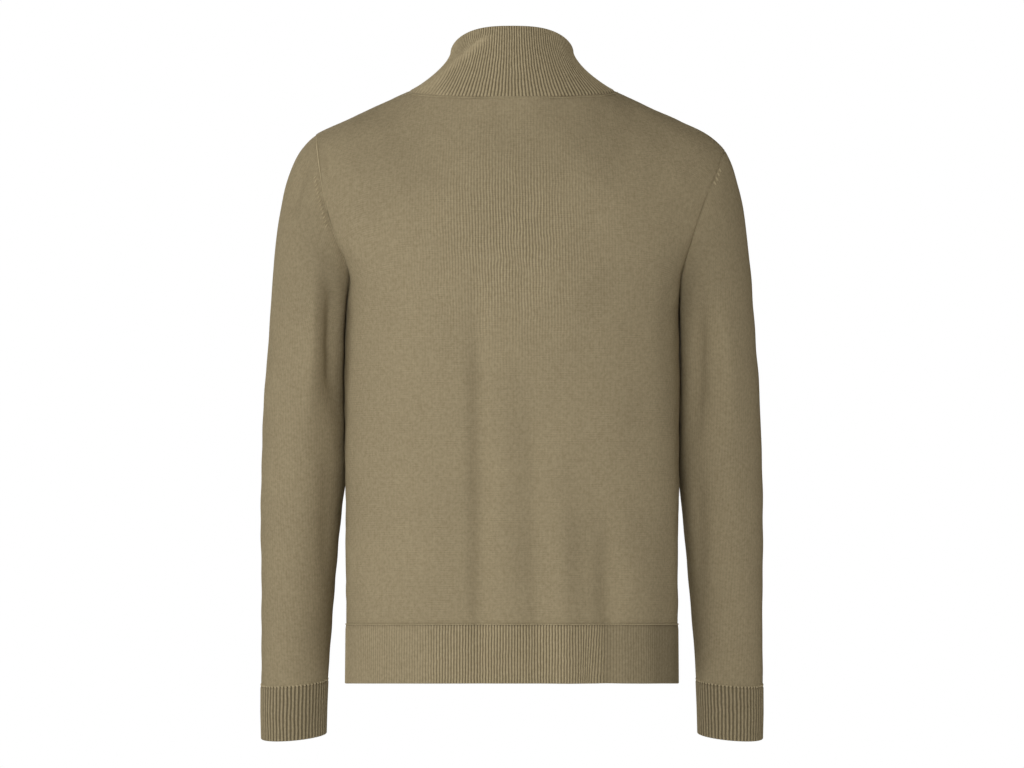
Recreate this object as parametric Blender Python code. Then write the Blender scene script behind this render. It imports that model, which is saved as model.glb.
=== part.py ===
"""A knitted zip-up cardigan, hollow as worn, built from the pieces that a maker links together.

Metres, +Z up. The front faces -Y, so the wearer's left is +X. The origin lies midway between
the side points of the neck seam, where the garment bears on the shoulders.
Plain knit: back, two fronts, two sleeves. Rib: hem band, two cuffs, stand collar.
Every cloth piece is a wall between an outer and an inner grid of points.
"""

import math
from collections import namedtuple

import bmesh
import bpy
import numpy as np
from mathutils import Matrix, Vector

LEFT, RIGHT = 1, -1

# Cloth
KNIT_WALL = 0.0022
RIB_WALL = 0.0027
RIB_RELIEF = 0.0009  # from the valley to the crest of a rib
SEAM_GAP = 0.0003
SQUARENESS = 0.85  # power on sine and cosine: 1 is an ellipse, less is squarer

# Neck seam and shoulders
NECK_HALF = 0.115
NECK_SHARE = 0.5  # share of a panel's columns that end on the neck
SHOULDER_SLOPE = 0.462
SHOULDER_RUN = 0.104
SHOULDER_ROUND = 0.0012  # extra drop where the shoulder has run that far
SHOULDER_TURN = 12  # power of that drop: it comes all at the end
NECK_CLIMB = 0.90  # near the neck point the columns head this much inwards
NECK_OVER = 0.45  # and this much over the shoulder
NECK_NEAR_POWER = 6  # the turn over the shoulder comes all near the neck point
ZIP_HALF = 0.005  # from the middle to each front edge

# Stitches: ribs round each band
COLLAR_RIBS = 170
HEM_RIBS = 318
CUFF_RIBS = 54

# How finely each wall is cut into faces
BODY_COLUMNS = 12  # from the middle to the side
PANEL_ROWS = (3, 3, 3, 2, 3, 5)  # faces between one section and the next
OPEN_ROW = 9  # the armhole opens above this row
CAP_ROWS = 7
TUBE_ROWS = (3, 2, 3, 3)
COLLAR_ROWS = 5
PLAIN_COLUMNS = 60  # round the plain inside of a ribbed wall
CUFF_PLAIN_COLUMNS = 24
FINE = 6  # normals are measured on a grid this many times finer
CURVE_POINTS = 721  # on a curve before it is shared out into equal steps
SHARP_ANGLE = 50  # degrees

Surface = namedtuple("Surface", "points normals")
Section = namedtuple("Section", "name x_left x_right y_side z_side y_middle z_middle arc")

# Half sections of the body, from the hem seam up to the armhole. The arc is how far, in degrees,
# the section has turned from the middle to its side end.
BACK = (
    Section("hem seam", 0.1856, 0.1856, 0.0, -0.5985, 0.118, -0.5935, 90),
    Section("waist", 0.1865, 0.1865, 0.0, -0.4700, 0.109, -0.4680, 90),
    Section("chest", 0.1870, 0.1870, 0.0, -0.3400, 0.120, -0.3420, 90),
    Section("underarm", 0.1870, 0.1870, 0.0, -0.2430, 0.128, -0.2550, 90),
    Section("low armhole", 0.1818, 0.1883, 0.052, -0.2060, 0.130, -0.2040, 84),
    Section("shoulder blade", 0.2014, 0.2055, 0.067, -0.1500, 0.122, -0.1300, 68),
)
FRONT = (
    Section("hem seam", 0.1856, 0.1856, 0.0, -0.5985, -0.128, -0.6015, 90),
    Section("waist", 0.1865, 0.1865, 0.0, -0.4700, -0.124, -0.4720, 90),
    Section("chest", 0.1870, 0.1870, 0.0, -0.3400, -0.130, -0.3450, 90),
    Section("underarm", 0.1870, 0.1870, 0.0, -0.2430, -0.130, -0.2620, 90),
    Section("low armhole", 0.1815, 0.1840, -0.047, -0.2070, -0.127, -0.2250, 84),
    Section("upper chest", 0.1940, 0.1980, -0.062, -0.1480, -0.117, -0.1550, 66),
)
BAND_BACK = (
    Section("band bottom", 0.1875, 0.1875, 0.0, -0.6635, 0.119, -0.6570, 90),
    Section("band top", 0.1865, 0.1865, 0.0, -0.5988, 0.119, -0.5938, 90),
)
BAND_FRONT = (
    Section("band bottom", 0.1875, 0.1875, 0.0, -0.6635, -0.129, -0.6650, 90),
    Section("band top", 0.1865, 0.1865, 0.0, -0.5988, -0.129, -0.6018, 90),
)

UNDERARM = 3  # the section at which the armhole opens
UNDERARM_FROM = 0.75  # columns beyond this share bend round the foot of the armhole

# Where each half ends at the neck, and the way its columns head there at the middle.
Neck = namedtuple("Neck", "y z drop_power lean rise")
NECK_BACK = Neck(0.080, -0.010, 1.0, -0.35, 0.94)
NECK_FRONT = Neck(-0.096, -0.072, 1.3, 0.35, 0.94)

# The sleeve seam's shoulder end, and the way the sleeve leaves it.
Shoulder = namedtuple("Shoulder", "x outward downward pull")
SHOULDERS = {LEFT: Shoulder(0.219, 1.15, 0.72, 0.70), RIGHT: Shoulder(0.238, 0.60, 1.00, 0.67)}

# Sections of a sleeve, from the upper arm to the cuff's edge.
Tube = namedtuple("Tube", "name z x_inner x_outer y_middle half_depth")
SLEEVE = (
    Tube("upper arm", -0.300, 0.1840, 0.2765, -0.018, 0.064),
    Tube("above elbow", -0.390, 0.1855, 0.2813, -0.027, 0.059),
    Tube("elbow", -0.457, 0.1900, 0.2832, -0.034, 0.054),
    Tube("forearm", -0.560, 0.1997, 0.2837, -0.046, 0.045),
    Tube("cuff seam", -0.6645, 0.2072, 0.2840, -0.058, 0.037),
)
CUFF = (
    Tube("cuff top", -0.6648, 0.2066, 0.2848, -0.058, 0.0377),
    Tube("cuff middle", -0.6960, 0.2076, 0.2850, -0.061, 0.0372),
    Tube("cuff edge", -0.7265, 0.2083, 0.2842, -0.064, 0.0360),
)
CUFF_DROP_OUT = 0.085  # the cuff's sections drop this much per metre outwards
CUFF_DROP_BACK = 0.09  # and this much per metre towards the back
CAP_OUT_UNDER = 0.10  # at the underarm the sleeve leaves the armhole this much outwards
CAP_OUT_POWER = 1.2
CAP_OUT_SIDES = 0.35  # and this much to the front and the back
CLEAR_OF_BODY = 0.0016
CLEAR_RUN = 0.35  # share of the cap over which the seam's gap opens to that
BODY_REACH = 0.03  # points farther than this from the body stay where they are

# Collar
COLLAR_TOP_HALF = 0.0683
COLLAR_TOP_DEPTH = 0.073
COLLAR_TOP_Y = -0.007
COLLAR_TOP_SIDE_Z = 0.0445
COLLAR_TOP_BACK_RISE = 0.0245
COLLAR_TOP_FLAT = 3.0  # powers of the back's rounded upper edge, which is flat in the middle
COLLAR_TOP_FALL = 0.57
COLLAR_TOP_FRONT_DROP = 0.022
COLLAR_TOP_FRONT_POWER = 1.5
COLLAR_BASE_PULL, COLLAR_TOP_PULL = 0.70, 0.95
COLLAR_LEAN = -0.08

# Soft folds: a ridge has a height over 0 and a trough one under 0. Each runs from its top to
# its bottom point, seen from behind, and fades out over a share of its length at each end.
Fold = namedtuple("Fold", "name x_top z_top x_bottom z_bottom half_width height")
BACK_FOLDS = (
    Fold("left trough", 0.044, -0.240, 0.041, -0.640, 0.014, -0.0045),
    Fold("middle ridge", 0.017, -0.290, 0.014, -0.660, 0.014, 0.0025),
    Fold("middle trough", -0.010, -0.300, -0.018, -0.700, 0.010, -0.0025),
    Fold("right ridge", -0.040, -0.400, -0.046, -0.720, 0.015, 0.0045),
    Fold("right trough", -0.084, -0.440, -0.086, -0.790, 0.017, -0.0050),
    Fold("outer ridge", -0.122, -0.460, -0.126, -0.790, 0.018, 0.0025),
    Fold("left ridge", 0.085, -0.360, 0.092, -0.720, 0.022, 0.0020),
)
FOLD_FADE = 0.35
FOLD_BEHIND = 0.04  # on the band the folds fade in over this depth behind the sides
Crease = namedtuple("Crease", "name side turn_top along_top turn_bottom along_bottom half_width height")
SLEEVE_CREASES = (
    Crease("armpit trough", LEFT, 78, 0.10, 50, 0.52, 13, -0.0060),
    Crease("back ridge", LEFT, 112, 0.08, 92, 0.55, 16, 0.0030),
    Crease("cap dimple", LEFT, 146, 0.06, 138, 0.20, 12, -0.0035),
    Crease("armpit trough", RIGHT, 70, 0.14, 52, 0.60, 14, -0.0050),
    Crease("back ridge", RIGHT, 108, 0.16, 96, 0.70, 18, 0.0025),
    Crease("elbow trough", LEFT, 60, 0.50, 40, 0.85, 15, -0.0030),
    Crease("elbow trough", RIGHT, 58, 0.55, 42, 0.88, 15, -0.0028),
)

# Zip: depths are measured out from the front's outer face.
TAPE_EDGE = 0.0033
TAPE_WIDTH = 0.012
TAPE_FACE = -0.0033
TAPE_THICK = 0.0008
CHAIN_HALF = 0.0030
CHAIN_FACE = -0.0010
CHAIN_BACK = -0.0034
TAPE_TOP_INSET = 0.0008
TAPE_POINTS = 40  # of each cloth row that the tape follows, and more on the narrower ribs
TAPE_RIB_POINTS = 160
SLIDER_BELOW_TOP = 0.017
SLIDER_LENGTH = 0.0110
SLIDER_HALF = 0.0044
PLATE_FACE = 0.0020
PLATE_BACK = 0.0008
PLATE_ROUND = 0.0004
SUNK = 0.0003  # joined pieces of the slider reach this far into each other
BACKPLATE_FACE = -0.0044
BACKPLATE_BACK = -0.0054
POST_HALF = 0.0016
POST_FROM, POST_TO = 0.0025, 0.0052
CHAIN_END = 0.0020  # the closed chain ends here, above the slider's middle
CHAIN_STEP = 0.002  # no point of the chain's line is nearer its ends than this
STOP_FROM, STOP_TO = 0.0070, 0.0092
STOP_INNER = 0.0012
BOX_LENGTH = 0.0090
PIVOT_HEIGHT = 0.0032
BAR_RADIUS = 0.0006
BRIDGE_HALF = 0.0008
BRIDGE_THICK = 0.0011
BRIDGE_GAP = 0.0005
BRIDGE_REACH = 0.0034
PULL_LENGTH = 0.0260
PULL_HALF = 0.0032
PULL_THICK = 0.0012
PULL_EYE = 0.0042

COLOURS = {
    "knit": ((0.262, 0.214, 0.135), 0.92, 0.0),
    "rib": ((0.255, 0.207, 0.130), 0.93, 0.0),
    "tape": ((0.200, 0.165, 0.105), 0.85, 0.0),
    "metal": ((0.300, 0.280, 0.240), 0.38, 1.0),
}


def clear_scene():
    """Remove whatever the scene holds."""
    for obj in list(bpy.data.objects):
        bpy.data.objects.remove(obj)


def make_materials():
    """One Principled material for each finish."""
    made = {}
    for name, (colour, roughness, metallic) in COLOURS.items():
        material = bpy.data.materials.new(name)
        material.use_nodes = True
        shader = material.node_tree.nodes["Principled BSDF"]
        shader.inputs["Base Color"].default_value = (*colour, 1.0)
        shader.inputs["Roughness"].default_value = roughness
        shader.inputs["Metallic"].default_value = metallic
        made[name] = material
    return made


# ---- curves and grids ------------------------------------------------------------------------


def unit(vectors):
    """Each vector at length 1."""
    return vectors / np.maximum(np.linalg.norm(vectors, axis=-1, keepdims=True), 1e-12)


def smooth_step(share):
    """0 below 0, 1 above 1, and an even S between."""
    share = np.clip(share, 0.0, 1.0)
    return share * share * (3.0 - 2.0 * share)


def loft(knots, counts, start=None, end=None, start_pull=1.0, end_pull=1.0, side_turn=None):
    """Smooth columns through rows of points: each span is a cubic whose end slopes follow its neighbours.

    knots is rows x columns x 3, and counts the number of steps in each span. start and end are
    the ways that the columns leave the first row and reach the last, if they are given.
    side_turn is (row, share, way): there the columns arrive straight and leave in that way, by
    as much as each column's share.
    """
    chords = np.diff(knots, axis=0)
    lengths = np.linalg.norm(chords, axis=-1, keepdims=True)
    ways = chords / np.maximum(lengths, 1e-9)
    slopes = np.empty_like(knots)
    slopes[1:-1] = unit(lengths[1:] * ways[:-1] + lengths[:-1] * ways[1:])
    slopes[0] = ways[0] if start is None else unit(start)
    slopes[-1] = ways[-1] if end is None else unit(end)
    arriving, leaving = slopes.copy(), slopes.copy()
    if side_turn:
        row, share, way = side_turn
        arriving[row] = unit((1 - share) * slopes[row] + share * ways[row - 1])
        leaving[row] = unit((1 - share) * slopes[row] + share * way)
    rows = [knots[:1]]
    for span, count in enumerate(counts):
        t = (np.arange(1, count + 1) / count)[:, None, None]
        leave = lengths[span] * leaving[span] * (start_pull if span == 0 else 1.0)
        arrive = lengths[span] * arriving[span + 1] * (end_pull if span == len(counts) - 1 else 1.0)
        rows.append(
            (2 * t**3 - 3 * t**2 + 1) * knots[span]
            + (t**3 - 2 * t**2 + t) * leave
            + (3 * t**2 - 2 * t**3) * knots[span + 1]
            + (t**3 - t**2) * arrive
        )
    return np.concatenate(rows)


def distances(line):
    """How far along a line of points each one lies."""
    steps = np.linalg.norm(np.diff(line[:, :3], axis=0), axis=1)
    return np.concatenate([[0.0], np.cumsum(steps)])


def sample(line, wanted):
    """A line's points, and any values carried beside them, at wanted distances along it."""
    along = distances(line)
    return np.stack([np.interp(wanted, along, channel) for channel in line.T], axis=1)


def spread(line, count):
    """count points at equal steps along a line of points, with any values carried beside them."""
    return sample(line, np.linspace(0.0, distances(line)[-1], count))


def grid_normals(grid, closed, outward):
    """Unit normals of a grid, turned so that they agree with the rough outward vectors."""
    down = np.gradient(grid, axis=0)
    if closed:
        around = (np.roll(grid, -1, axis=1) - np.roll(grid, 1, axis=1)) / 2
    else:
        around = np.gradient(grid, axis=1)
    normals = unit(np.cross(around, down))
    return normals if (normals * outward).sum() > 0 else -normals


def fine_counts(counts):
    """The same spans, cut FINE times finer."""
    return tuple(count * FINE for count in counts)


def from_axis(grid):
    """Vectors straight out from the vertical middle axis."""
    return grid * np.array([1.0, 1.0, 0.0])


# ---- solids ----------------------------------------------------------------------------------


def grid_faces(rows, columns, closed, first):
    """Four-sided faces of a grid whose points start at index first."""
    faces = []
    for row in range(rows - 1):
        for column in range(columns if closed else columns - 1):
            a = first + row * columns + column
            b = first + row * columns + (column + 1) % columns
            faces.append((a, b, b + columns, a + columns))
    return faces


def stitch(line_a, line_b, closed):
    """Triangles, or quads where the counts agree, between two lines of point indices."""
    if closed:
        line_a, line_b = [*line_a, line_a[0]], [*line_b, line_b[0]]
    steps_a, steps_b = len(line_a) - 1, len(line_b) - 1
    if steps_a == steps_b:
        return [(line_a[i], line_a[i + 1], line_b[i + 1], line_b[i]) for i in range(steps_a)]
    faces, a, b = [], 0, 0
    while a < steps_a or b < steps_b:
        if b == steps_b or (a < steps_a and (a + 1) * steps_b <= (b + 1) * steps_a):
            faces.append((line_a[a], line_a[a + 1], line_b[b]))
            a += 1
        else:
            faces.append((line_a[a], line_b[b + 1], line_b[b]))
            b += 1
    return faces


def solid(name, points, faces, material):
    """An object whose mesh is one closed body facing out."""
    mesh = bpy.data.meshes.new(name)
    mesh.from_pydata([tuple(p) for p in points], [], faces)
    work = bmesh.new()
    work.from_mesh(mesh)
    bmesh.ops.recalc_face_normals(work, faces=work.faces)
    if work.calc_volume(signed=True) < 0:
        bmesh.ops.reverse_faces(work, faces=work.faces)
    work.to_mesh(mesh)
    work.free()
    mesh.materials.append(material)
    mesh.shade_smooth()
    mesh.set_sharp_from_angle(angle=math.radians(SHARP_ANGLE))
    obj = bpy.data.objects.new(name, mesh)
    bpy.context.scene.collection.objects.link(obj)
    return obj


def wall(name, outer, inner, closed, material):
    """Cloth between an outer and an inner grid, which may differ in their number of columns."""
    outer_rows, outer_columns = outer.shape[:2]
    inner_rows, inner_columns = inner.shape[:2]
    first_inner = outer_rows * outer_columns
    points = np.concatenate([outer.reshape(-1, 3), inner.reshape(-1, 3)])
    outer_index = np.arange(first_inner).reshape(outer_rows, outer_columns)
    inner_index = first_inner + np.arange(inner_rows * inner_columns).reshape(inner_rows, inner_columns)
    faces = grid_faces(outer_rows, outer_columns, closed, 0)
    faces += grid_faces(inner_rows, inner_columns, closed, first_inner)
    for row in (0, -1):
        faces += stitch(outer_index[row].tolist(), inner_index[row].tolist(), closed)
    if not closed:
        for column in (0, -1):
            faces += stitch(outer_index[:, column].tolist(), inner_index[:, column].tolist(), False)
    return solid(name, points, faces, material)


def ribbed(grid, normals):
    """The grid's points moved out on odd columns and in on even ones, as ribs."""
    crest = np.where(np.arange(grid.shape[1]) % 2 == 1, 0.5, -0.5)[None, :, None]
    return grid + normals * crest * RIB_RELIEF


# ---- body ------------------------------------------------------------------------------------


def half_row(section, side, share, x_middle):
    """A section's points from its middle (share 0) to its side end (share 1)."""
    x_side = section.x_left if side == LEFT else section.x_right
    end = math.radians(section.arc)
    turn = share * end
    across = (np.sin(turn) / math.sin(end)) ** SQUARENESS
    last = max(math.cos(end), 0.0) ** SQUARENESS if section.arc < 90 else 0.0
    depth = (np.clip(np.cos(turn), 0.0, 1.0) ** SQUARENESS - last) / (1.0 - last)
    x = x_middle + (x_side - x_middle) * across
    y = section.y_side + (section.y_middle - section.y_side) * depth
    z = section.z_side + (section.z_middle - section.z_side) * depth
    return np.stack([side * x, y, z], axis=1)


def top_row(neck, side, share, x_middle):
    """The panel's upper edge: the neck curve to the neck point, then the shoulder seam."""
    turn = np.clip(share / NECK_SHARE, 0.0, 1.0) * math.pi / 2
    run = np.clip((share - NECK_SHARE) / (1.0 - NECK_SHARE), 0.0, 1.0)
    run = run * (SHOULDERS[side].x - NECK_HALF)
    x = x_middle + (NECK_HALF - x_middle) * np.sin(turn) + run
    y = neck.y * np.cos(turn)
    z = neck.z * np.cos(turn) ** neck.drop_power
    z = z - SHOULDER_SLOPE * run - SHOULDER_ROUND * (run / SHOULDER_RUN) ** SHOULDER_TURN
    return np.stack([side * x, y, z], axis=1)


def neck_way(neck, side, share):
    """The way the cloth heads across the neck seam: up at the middle, inwards at the neck point."""
    turn = np.clip(share / NECK_SHARE, 0.0, 1.0) * math.pi / 2
    inward, upright = np.sin(turn), np.cos(turn)
    z = SHOULDER_SLOPE * NECK_CLIMB * inward + neck.rise * upright
    return np.stack([-side * NECK_CLIMB * inward, neck.lean * upright, z], axis=1)


def top_way(neck, side, share):
    """The way a panel's columns head at its upper edge: over the neck or the shoulder seam."""
    out = smooth_step((share - NECK_SHARE) / (1.0 - NECK_SHARE))
    near = np.clip(share / NECK_SHARE, 0.0, 1.0) ** NECK_NEAR_POWER
    way = neck_way(neck, side, share) * (1.0 - out)[:, None]
    way[:, 1] -= math.copysign(1.0, neck.y) * near * (NECK_OVER + (1.0 - NECK_OVER) * out)
    return way


def fold_heights(points, folds):
    """How far folds, seen from behind, move points of the back in or out."""
    heights = np.zeros(points.shape[:-1])
    for fold in folds:
        share = (points[..., 2] - fold.z_top) / (fold.z_bottom - fold.z_top)
        line = fold.x_top + (fold.x_bottom - fold.x_top) * share
        bell = np.exp(-(((points[..., 0] - line) / fold.half_width) ** 2))
        fade = smooth_step(share / FOLD_FADE) * smooth_step((1 - share) / FOLD_FADE)
        heights += fold.height * bell * fade
    return heights


def half_panel(sections, neck, side, counts, x_middle, columns):
    """The outer surface of half the back, or of one front, as rows from the hem seam up."""
    share = np.linspace(0.0, 1.0, columns + 1)
    rows = [half_row(section, side, share, x_middle) for section in sections]
    rows.append(top_row(neck, side, share, x_middle))
    edge = smooth_step((share - UNDERARM_FROM) / (1.0 - UNDERARM_FROM))[:, None]
    turn = (UNDERARM, edge, np.array([0.0, math.copysign(1.0, neck.y), 0.0]))
    return loft(np.stack(rows), counts, end=top_way(neck, side, share), side_turn=turn)


def level(vectors):
    """Each vector turned level, at length 1."""
    flat = vectors.copy()
    flat[..., 2] = 0.0
    return unit(flat)


def back_surface():
    """Outer grid and normals of the back panel, from the wearer's left side to the right."""
    counts = fine_counts(PANEL_ROWS)
    columns = BODY_COLUMNS * FINE
    left = half_panel(BACK, NECK_BACK, LEFT, counts, 0.0, columns)[:, ::-1]
    right = half_panel(BACK, NECK_BACK, RIGHT, counts, 0.0, columns)[:, 1:]
    grid = np.concatenate([left, right], axis=1)
    normals = grid_normals(grid, False, from_axis(grid))
    grid = grid + level(normals) * fold_heights(grid, BACK_FOLDS)[..., None]
    return grid, grid_normals(grid, False, from_axis(grid))


def front_surface(side):
    """Outer grid and normals of one front, from the zip to the side."""
    grid = half_panel(
        FRONT, NECK_FRONT, side, fine_counts(PANEL_ROWS), ZIP_HALF, BODY_COLUMNS * FINE
    )
    return grid, grid_normals(grid, False, from_axis(grid))


def band_surface(columns):
    """Outer grid and normals of the hem band, from the left front edge round the back to the right."""
    share = np.linspace(0.0, 1.0, CURVE_POINTS)
    rows = []
    for back, front in zip(BAND_BACK, BAND_FRONT):
        quarters = (
            half_row(front, LEFT, share, ZIP_HALF),
            half_row(back, LEFT, share, 0.0)[::-1],
            half_row(back, RIGHT, share, 0.0)[1:],
            half_row(front, RIGHT, share, ZIP_HALF)[::-1],
        )
        line = np.concatenate([quarters[0], quarters[1][1:], quarters[2], quarters[3][1:]])
        rows.append(spread(line, columns))
    grid = np.stack(rows)
    out = level(grid_normals(grid, False, from_axis(grid)))
    behind = smooth_step(grid[..., 1] / FOLD_BEHIND)
    grid = grid + out * (fold_heights(grid, BACK_FOLDS) * behind)[..., None]
    return grid, level(grid_normals(grid, False, from_axis(grid)))


# ---- sleeves ---------------------------------------------------------------------------------


def armhole_loop(back, front, side):
    """Points of the armhole, from the underarm up the back to the shoulder and down the front."""
    up = back[OPEN_ROW * FINE :, 0 if side == LEFT else -1]
    down = front[OPEN_ROW * FINE :, -1][::-1]
    return np.concatenate([up, down[1:-1]])


def tube_ring(tube, side, turn):
    """One section of a sleeve: turn 0 faces the body, 90 degrees the back, 180 outwards."""
    middle = (tube.x_inner + tube.x_outer) / 2
    half = (tube.x_outer - tube.x_inner) / 2
    x = middle - half * np.cos(turn)
    y = tube.y_middle + tube.half_depth * np.sin(turn)
    share = smooth_step((SLEEVE[0].z - tube.z) / (SLEEVE[0].z - SLEEVE[-1].z))
    z = tube.z - share * (CUFF_DROP_OUT * (x - middle) + CUFF_DROP_BACK * (y - tube.y_middle))
    return np.stack([side * x, y, z], axis=1)


def cap_way(side, turn):
    """The way the sleeve's columns leave the armhole: down at the underarm, outwards at the top."""
    shoulder = SHOULDERS[side]
    top = np.sin(turn / 2) ** 2
    x = side * (CAP_OUT_UNDER + (shoulder.outward - CAP_OUT_UNDER) * top**CAP_OUT_POWER)
    y = CAP_OUT_SIDES * np.sin(turn)
    z = -1.0 + (1.0 - shoulder.downward) * top
    return unit(np.stack([x, y, z], axis=1))


def crease_heights(side, rows, turn):
    """How far creases move a sleeve's points: rows run from the armhole (0) to the cuff (1)."""
    heights = np.zeros((len(rows), len(turn)))
    degrees = np.degrees(turn)[None, :]
    for crease in SLEEVE_CREASES:
        if crease.side != side:
            continue
        share = (rows[:, None] - crease.along_top) / (crease.along_bottom - crease.along_top)
        line = crease.turn_top + (crease.turn_bottom - crease.turn_top) * share
        bell = np.exp(-(((degrees - line) / crease.half_width) ** 2))
        fade = smooth_step(share / FOLD_FADE) * smooth_step((1 - share) / FOLD_FADE)
        heights += crease.height * bell * fade
    return heights


def push_clear(points, body_points, body_normals, inside, clearance):
    """Points nearer the body than the clearance are moved out along the body's normals."""
    for row in range(len(points)):
        gaps = np.linalg.norm(points[row][:, None] - body_points[None], axis=-1)
        nearest = gaps.argmin(axis=1)
        normal = body_normals[nearest]
        height = ((points[row] - body_points[nearest]) * normal).sum(axis=1)
        short = np.clip(clearance[row] - height, 0.0, None) * inside[nearest]
        short = np.where(gaps.min(axis=1) < BODY_REACH, short, 0.0)
        points[row] += normal * short[:, None]
    return points


def body_cloud(back, front, side):
    """Points and normals of the body beside one sleeve, and 1 or 0 as each lies inside its panel."""
    half = back.points.shape[1] // 2
    columns = slice(0, half) if side == LEFT else slice(half, None)
    beside = Surface(back.points[:, columns], back.normals[:, columns])
    clouds = []
    for panel, edge in ((beside, 0 if side == LEFT else -1), (front, -1)):
        inside = np.ones(panel.points.shape[:2])
        inside[OPEN_ROW * FINE :, edge] = 0.0
        inside[-1] = 0.0
        clouds.append([part[::2, ::2].reshape(-1, 3) for part in panel] + [inside[::2, ::2].ravel()])
    return [np.concatenate(parts) for parts in zip(*clouds)]


def sleeve_surface(loop, side, cloud, loop_normals):
    """Outer grid and normals of a sleeve, from the armhole to the cuff seam."""
    count = len(loop)
    turn = np.arange(count) / count * 2 * math.pi
    way = cap_way(side, turn)
    top = np.sin(turn / 2)[:, None] ** 2
    first = loop + SEAM_GAP * unit(way * top + loop_normals * (1 - top))
    knots = np.stack([first, *(tube_ring(tube, side, turn) for tube in SLEEVE)])
    counts = fine_counts((CAP_ROWS, *TUBE_ROWS))
    grid = loft(knots, counts, start=way, start_pull=SHOULDERS[side].pull)
    rows = np.linspace(0.0, 1.0, len(grid))
    middle = grid.mean(axis=1, keepdims=True)
    normals = grid_normals(grid, True, grid - middle)
    grid = grid + normals * crease_heights(side, rows, turn)[..., None]
    run = np.arange(len(grid)) / (CAP_ROWS * FINE)
    clearance = SEAM_GAP + (CLEAR_OF_BODY - SEAM_GAP) * smooth_step(run / CLEAR_RUN)
    grid[1:] = push_clear(grid[1:], *cloud, clearance[1:])
    return grid, grid_normals(grid, True, grid - middle)


def cuff_surface(side, columns):
    """Outer grid and normals of a cuff, from the sleeve seam to its edge."""
    turn = np.linspace(0.0, 2 * math.pi, CURVE_POINTS)
    rings = []
    for tube in CUFF:
        ring = tube_ring(tube, side, turn)
        rings.append(spread(ring, columns + 1)[:-1])
    grid = np.stack(rings)
    middle = grid.mean(axis=1, keepdims=True)
    normals = grid_normals(grid, True, grid - middle)
    normals[0] = flattened(normals[0], grid[0])
    return grid, normals


# ---- collar ----------------------------------------------------------------------------------


def collar_top_line(columns):
    """The collar's upper edge, from the left front edge round the back to the right."""
    angle = np.linspace(math.pi, -math.pi, CURVE_POINTS)
    x = COLLAR_TOP_HALF * np.sin(angle)
    y = COLLAR_TOP_Y + COLLAR_TOP_DEPTH * np.cos(angle)
    cosine = np.cos(angle)
    dome = np.clip(1.0 - np.abs(np.sin(angle)) ** COLLAR_TOP_FLAT, 0.0, 1.0) ** COLLAR_TOP_FALL
    rise = COLLAR_TOP_BACK_RISE * np.where(cosine > 0, dome, 0.0)
    drop = COLLAR_TOP_FRONT_DROP * np.clip(-cosine, 0, 1) ** COLLAR_TOP_FRONT_POWER
    line = np.stack([x, y, COLLAR_TOP_SIDE_Z + rise - drop], axis=1)
    open_front = (np.abs(x) >= ZIP_HALF) | (cosine > 0)
    return spread(line[open_front], columns)


def neck_seam(back, fronts):
    """The neck seam from the left front edge round the back to the right: points, ways, normals."""
    share = np.linspace(0.0, 1.0, BODY_COLUMNS * FINE + 1)
    share = share[: int(round(BODY_COLUMNS * FINE * NECK_SHARE)) + 1]
    reach, middle = len(share), back.shape[1] // 2
    quarters = (
        (fronts[LEFT][-1, :reach], neck_way(NECK_FRONT, LEFT, share)),
        (back[-1, middle - reach + 1 : middle + 1], neck_way(NECK_BACK, LEFT, share)[::-1]),
        (back[-1, middle : middle + reach], neck_way(NECK_BACK, RIGHT, share)),
        (fronts[RIGHT][-1, :reach][::-1], neck_way(NECK_FRONT, RIGHT, share)[::-1]),
    )
    quarters = [np.concatenate(quarter, axis=1) for quarter in quarters]
    line = np.concatenate([quarters[0], *(quarter[1:] for quarter in quarters[1:])])
    points, ways = line[:, :3], unit(line[:, 3:])
    normals = unit(np.cross(np.gradient(points, axis=0), ways))
    if (normals * from_axis(points)).sum() < 0:
        normals = -normals
    return np.concatenate([points, ways, normals], axis=1)


def collar_surface(seam, columns, steps):
    """Outer grid and normals of the stand collar, from the neck seam up."""
    base = spread(seam, columns)
    ways, base_normals = unit(base[:, 3:6]), unit(base[:, 6:])
    top = collar_top_line(columns)
    arrive = np.tile([0.0, COLLAR_LEAN, 1.0], (columns, 1))
    knots = np.stack([base[:, :3] + SEAM_GAP * ways, top])
    grid = loft(knots, (steps,), ways, arrive, COLLAR_BASE_PULL, COLLAR_TOP_PULL)
    normals = grid_normals(grid, False, from_axis(grid))
    normals[0] = base_normals
    return grid, normals


# ---- zip -------------------------------------------------------------------------------------


def strip(line, normals, x_from, x_to, depth_from, depth_to, name, material):
    """A flat strip along the front line, between two distances from the middle and two depths."""
    corners = ((x_from, depth_from), (x_to, depth_from), (x_to, depth_to), (x_from, depth_to))
    rings = []
    for x, depth in corners:
        points = line + normals * depth
        points[:, 0] = x
        rings.append(points)
    grid = np.stack(rings, axis=1)
    count = len(grid)
    faces = grid_faces(count, 4, True, 0)
    faces += [(0, 1, 2, 3), tuple(4 * (count - 1) + i for i in (3, 2, 1, 0))]
    return solid(name, grid.reshape(-1, 3), faces, material)


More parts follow.
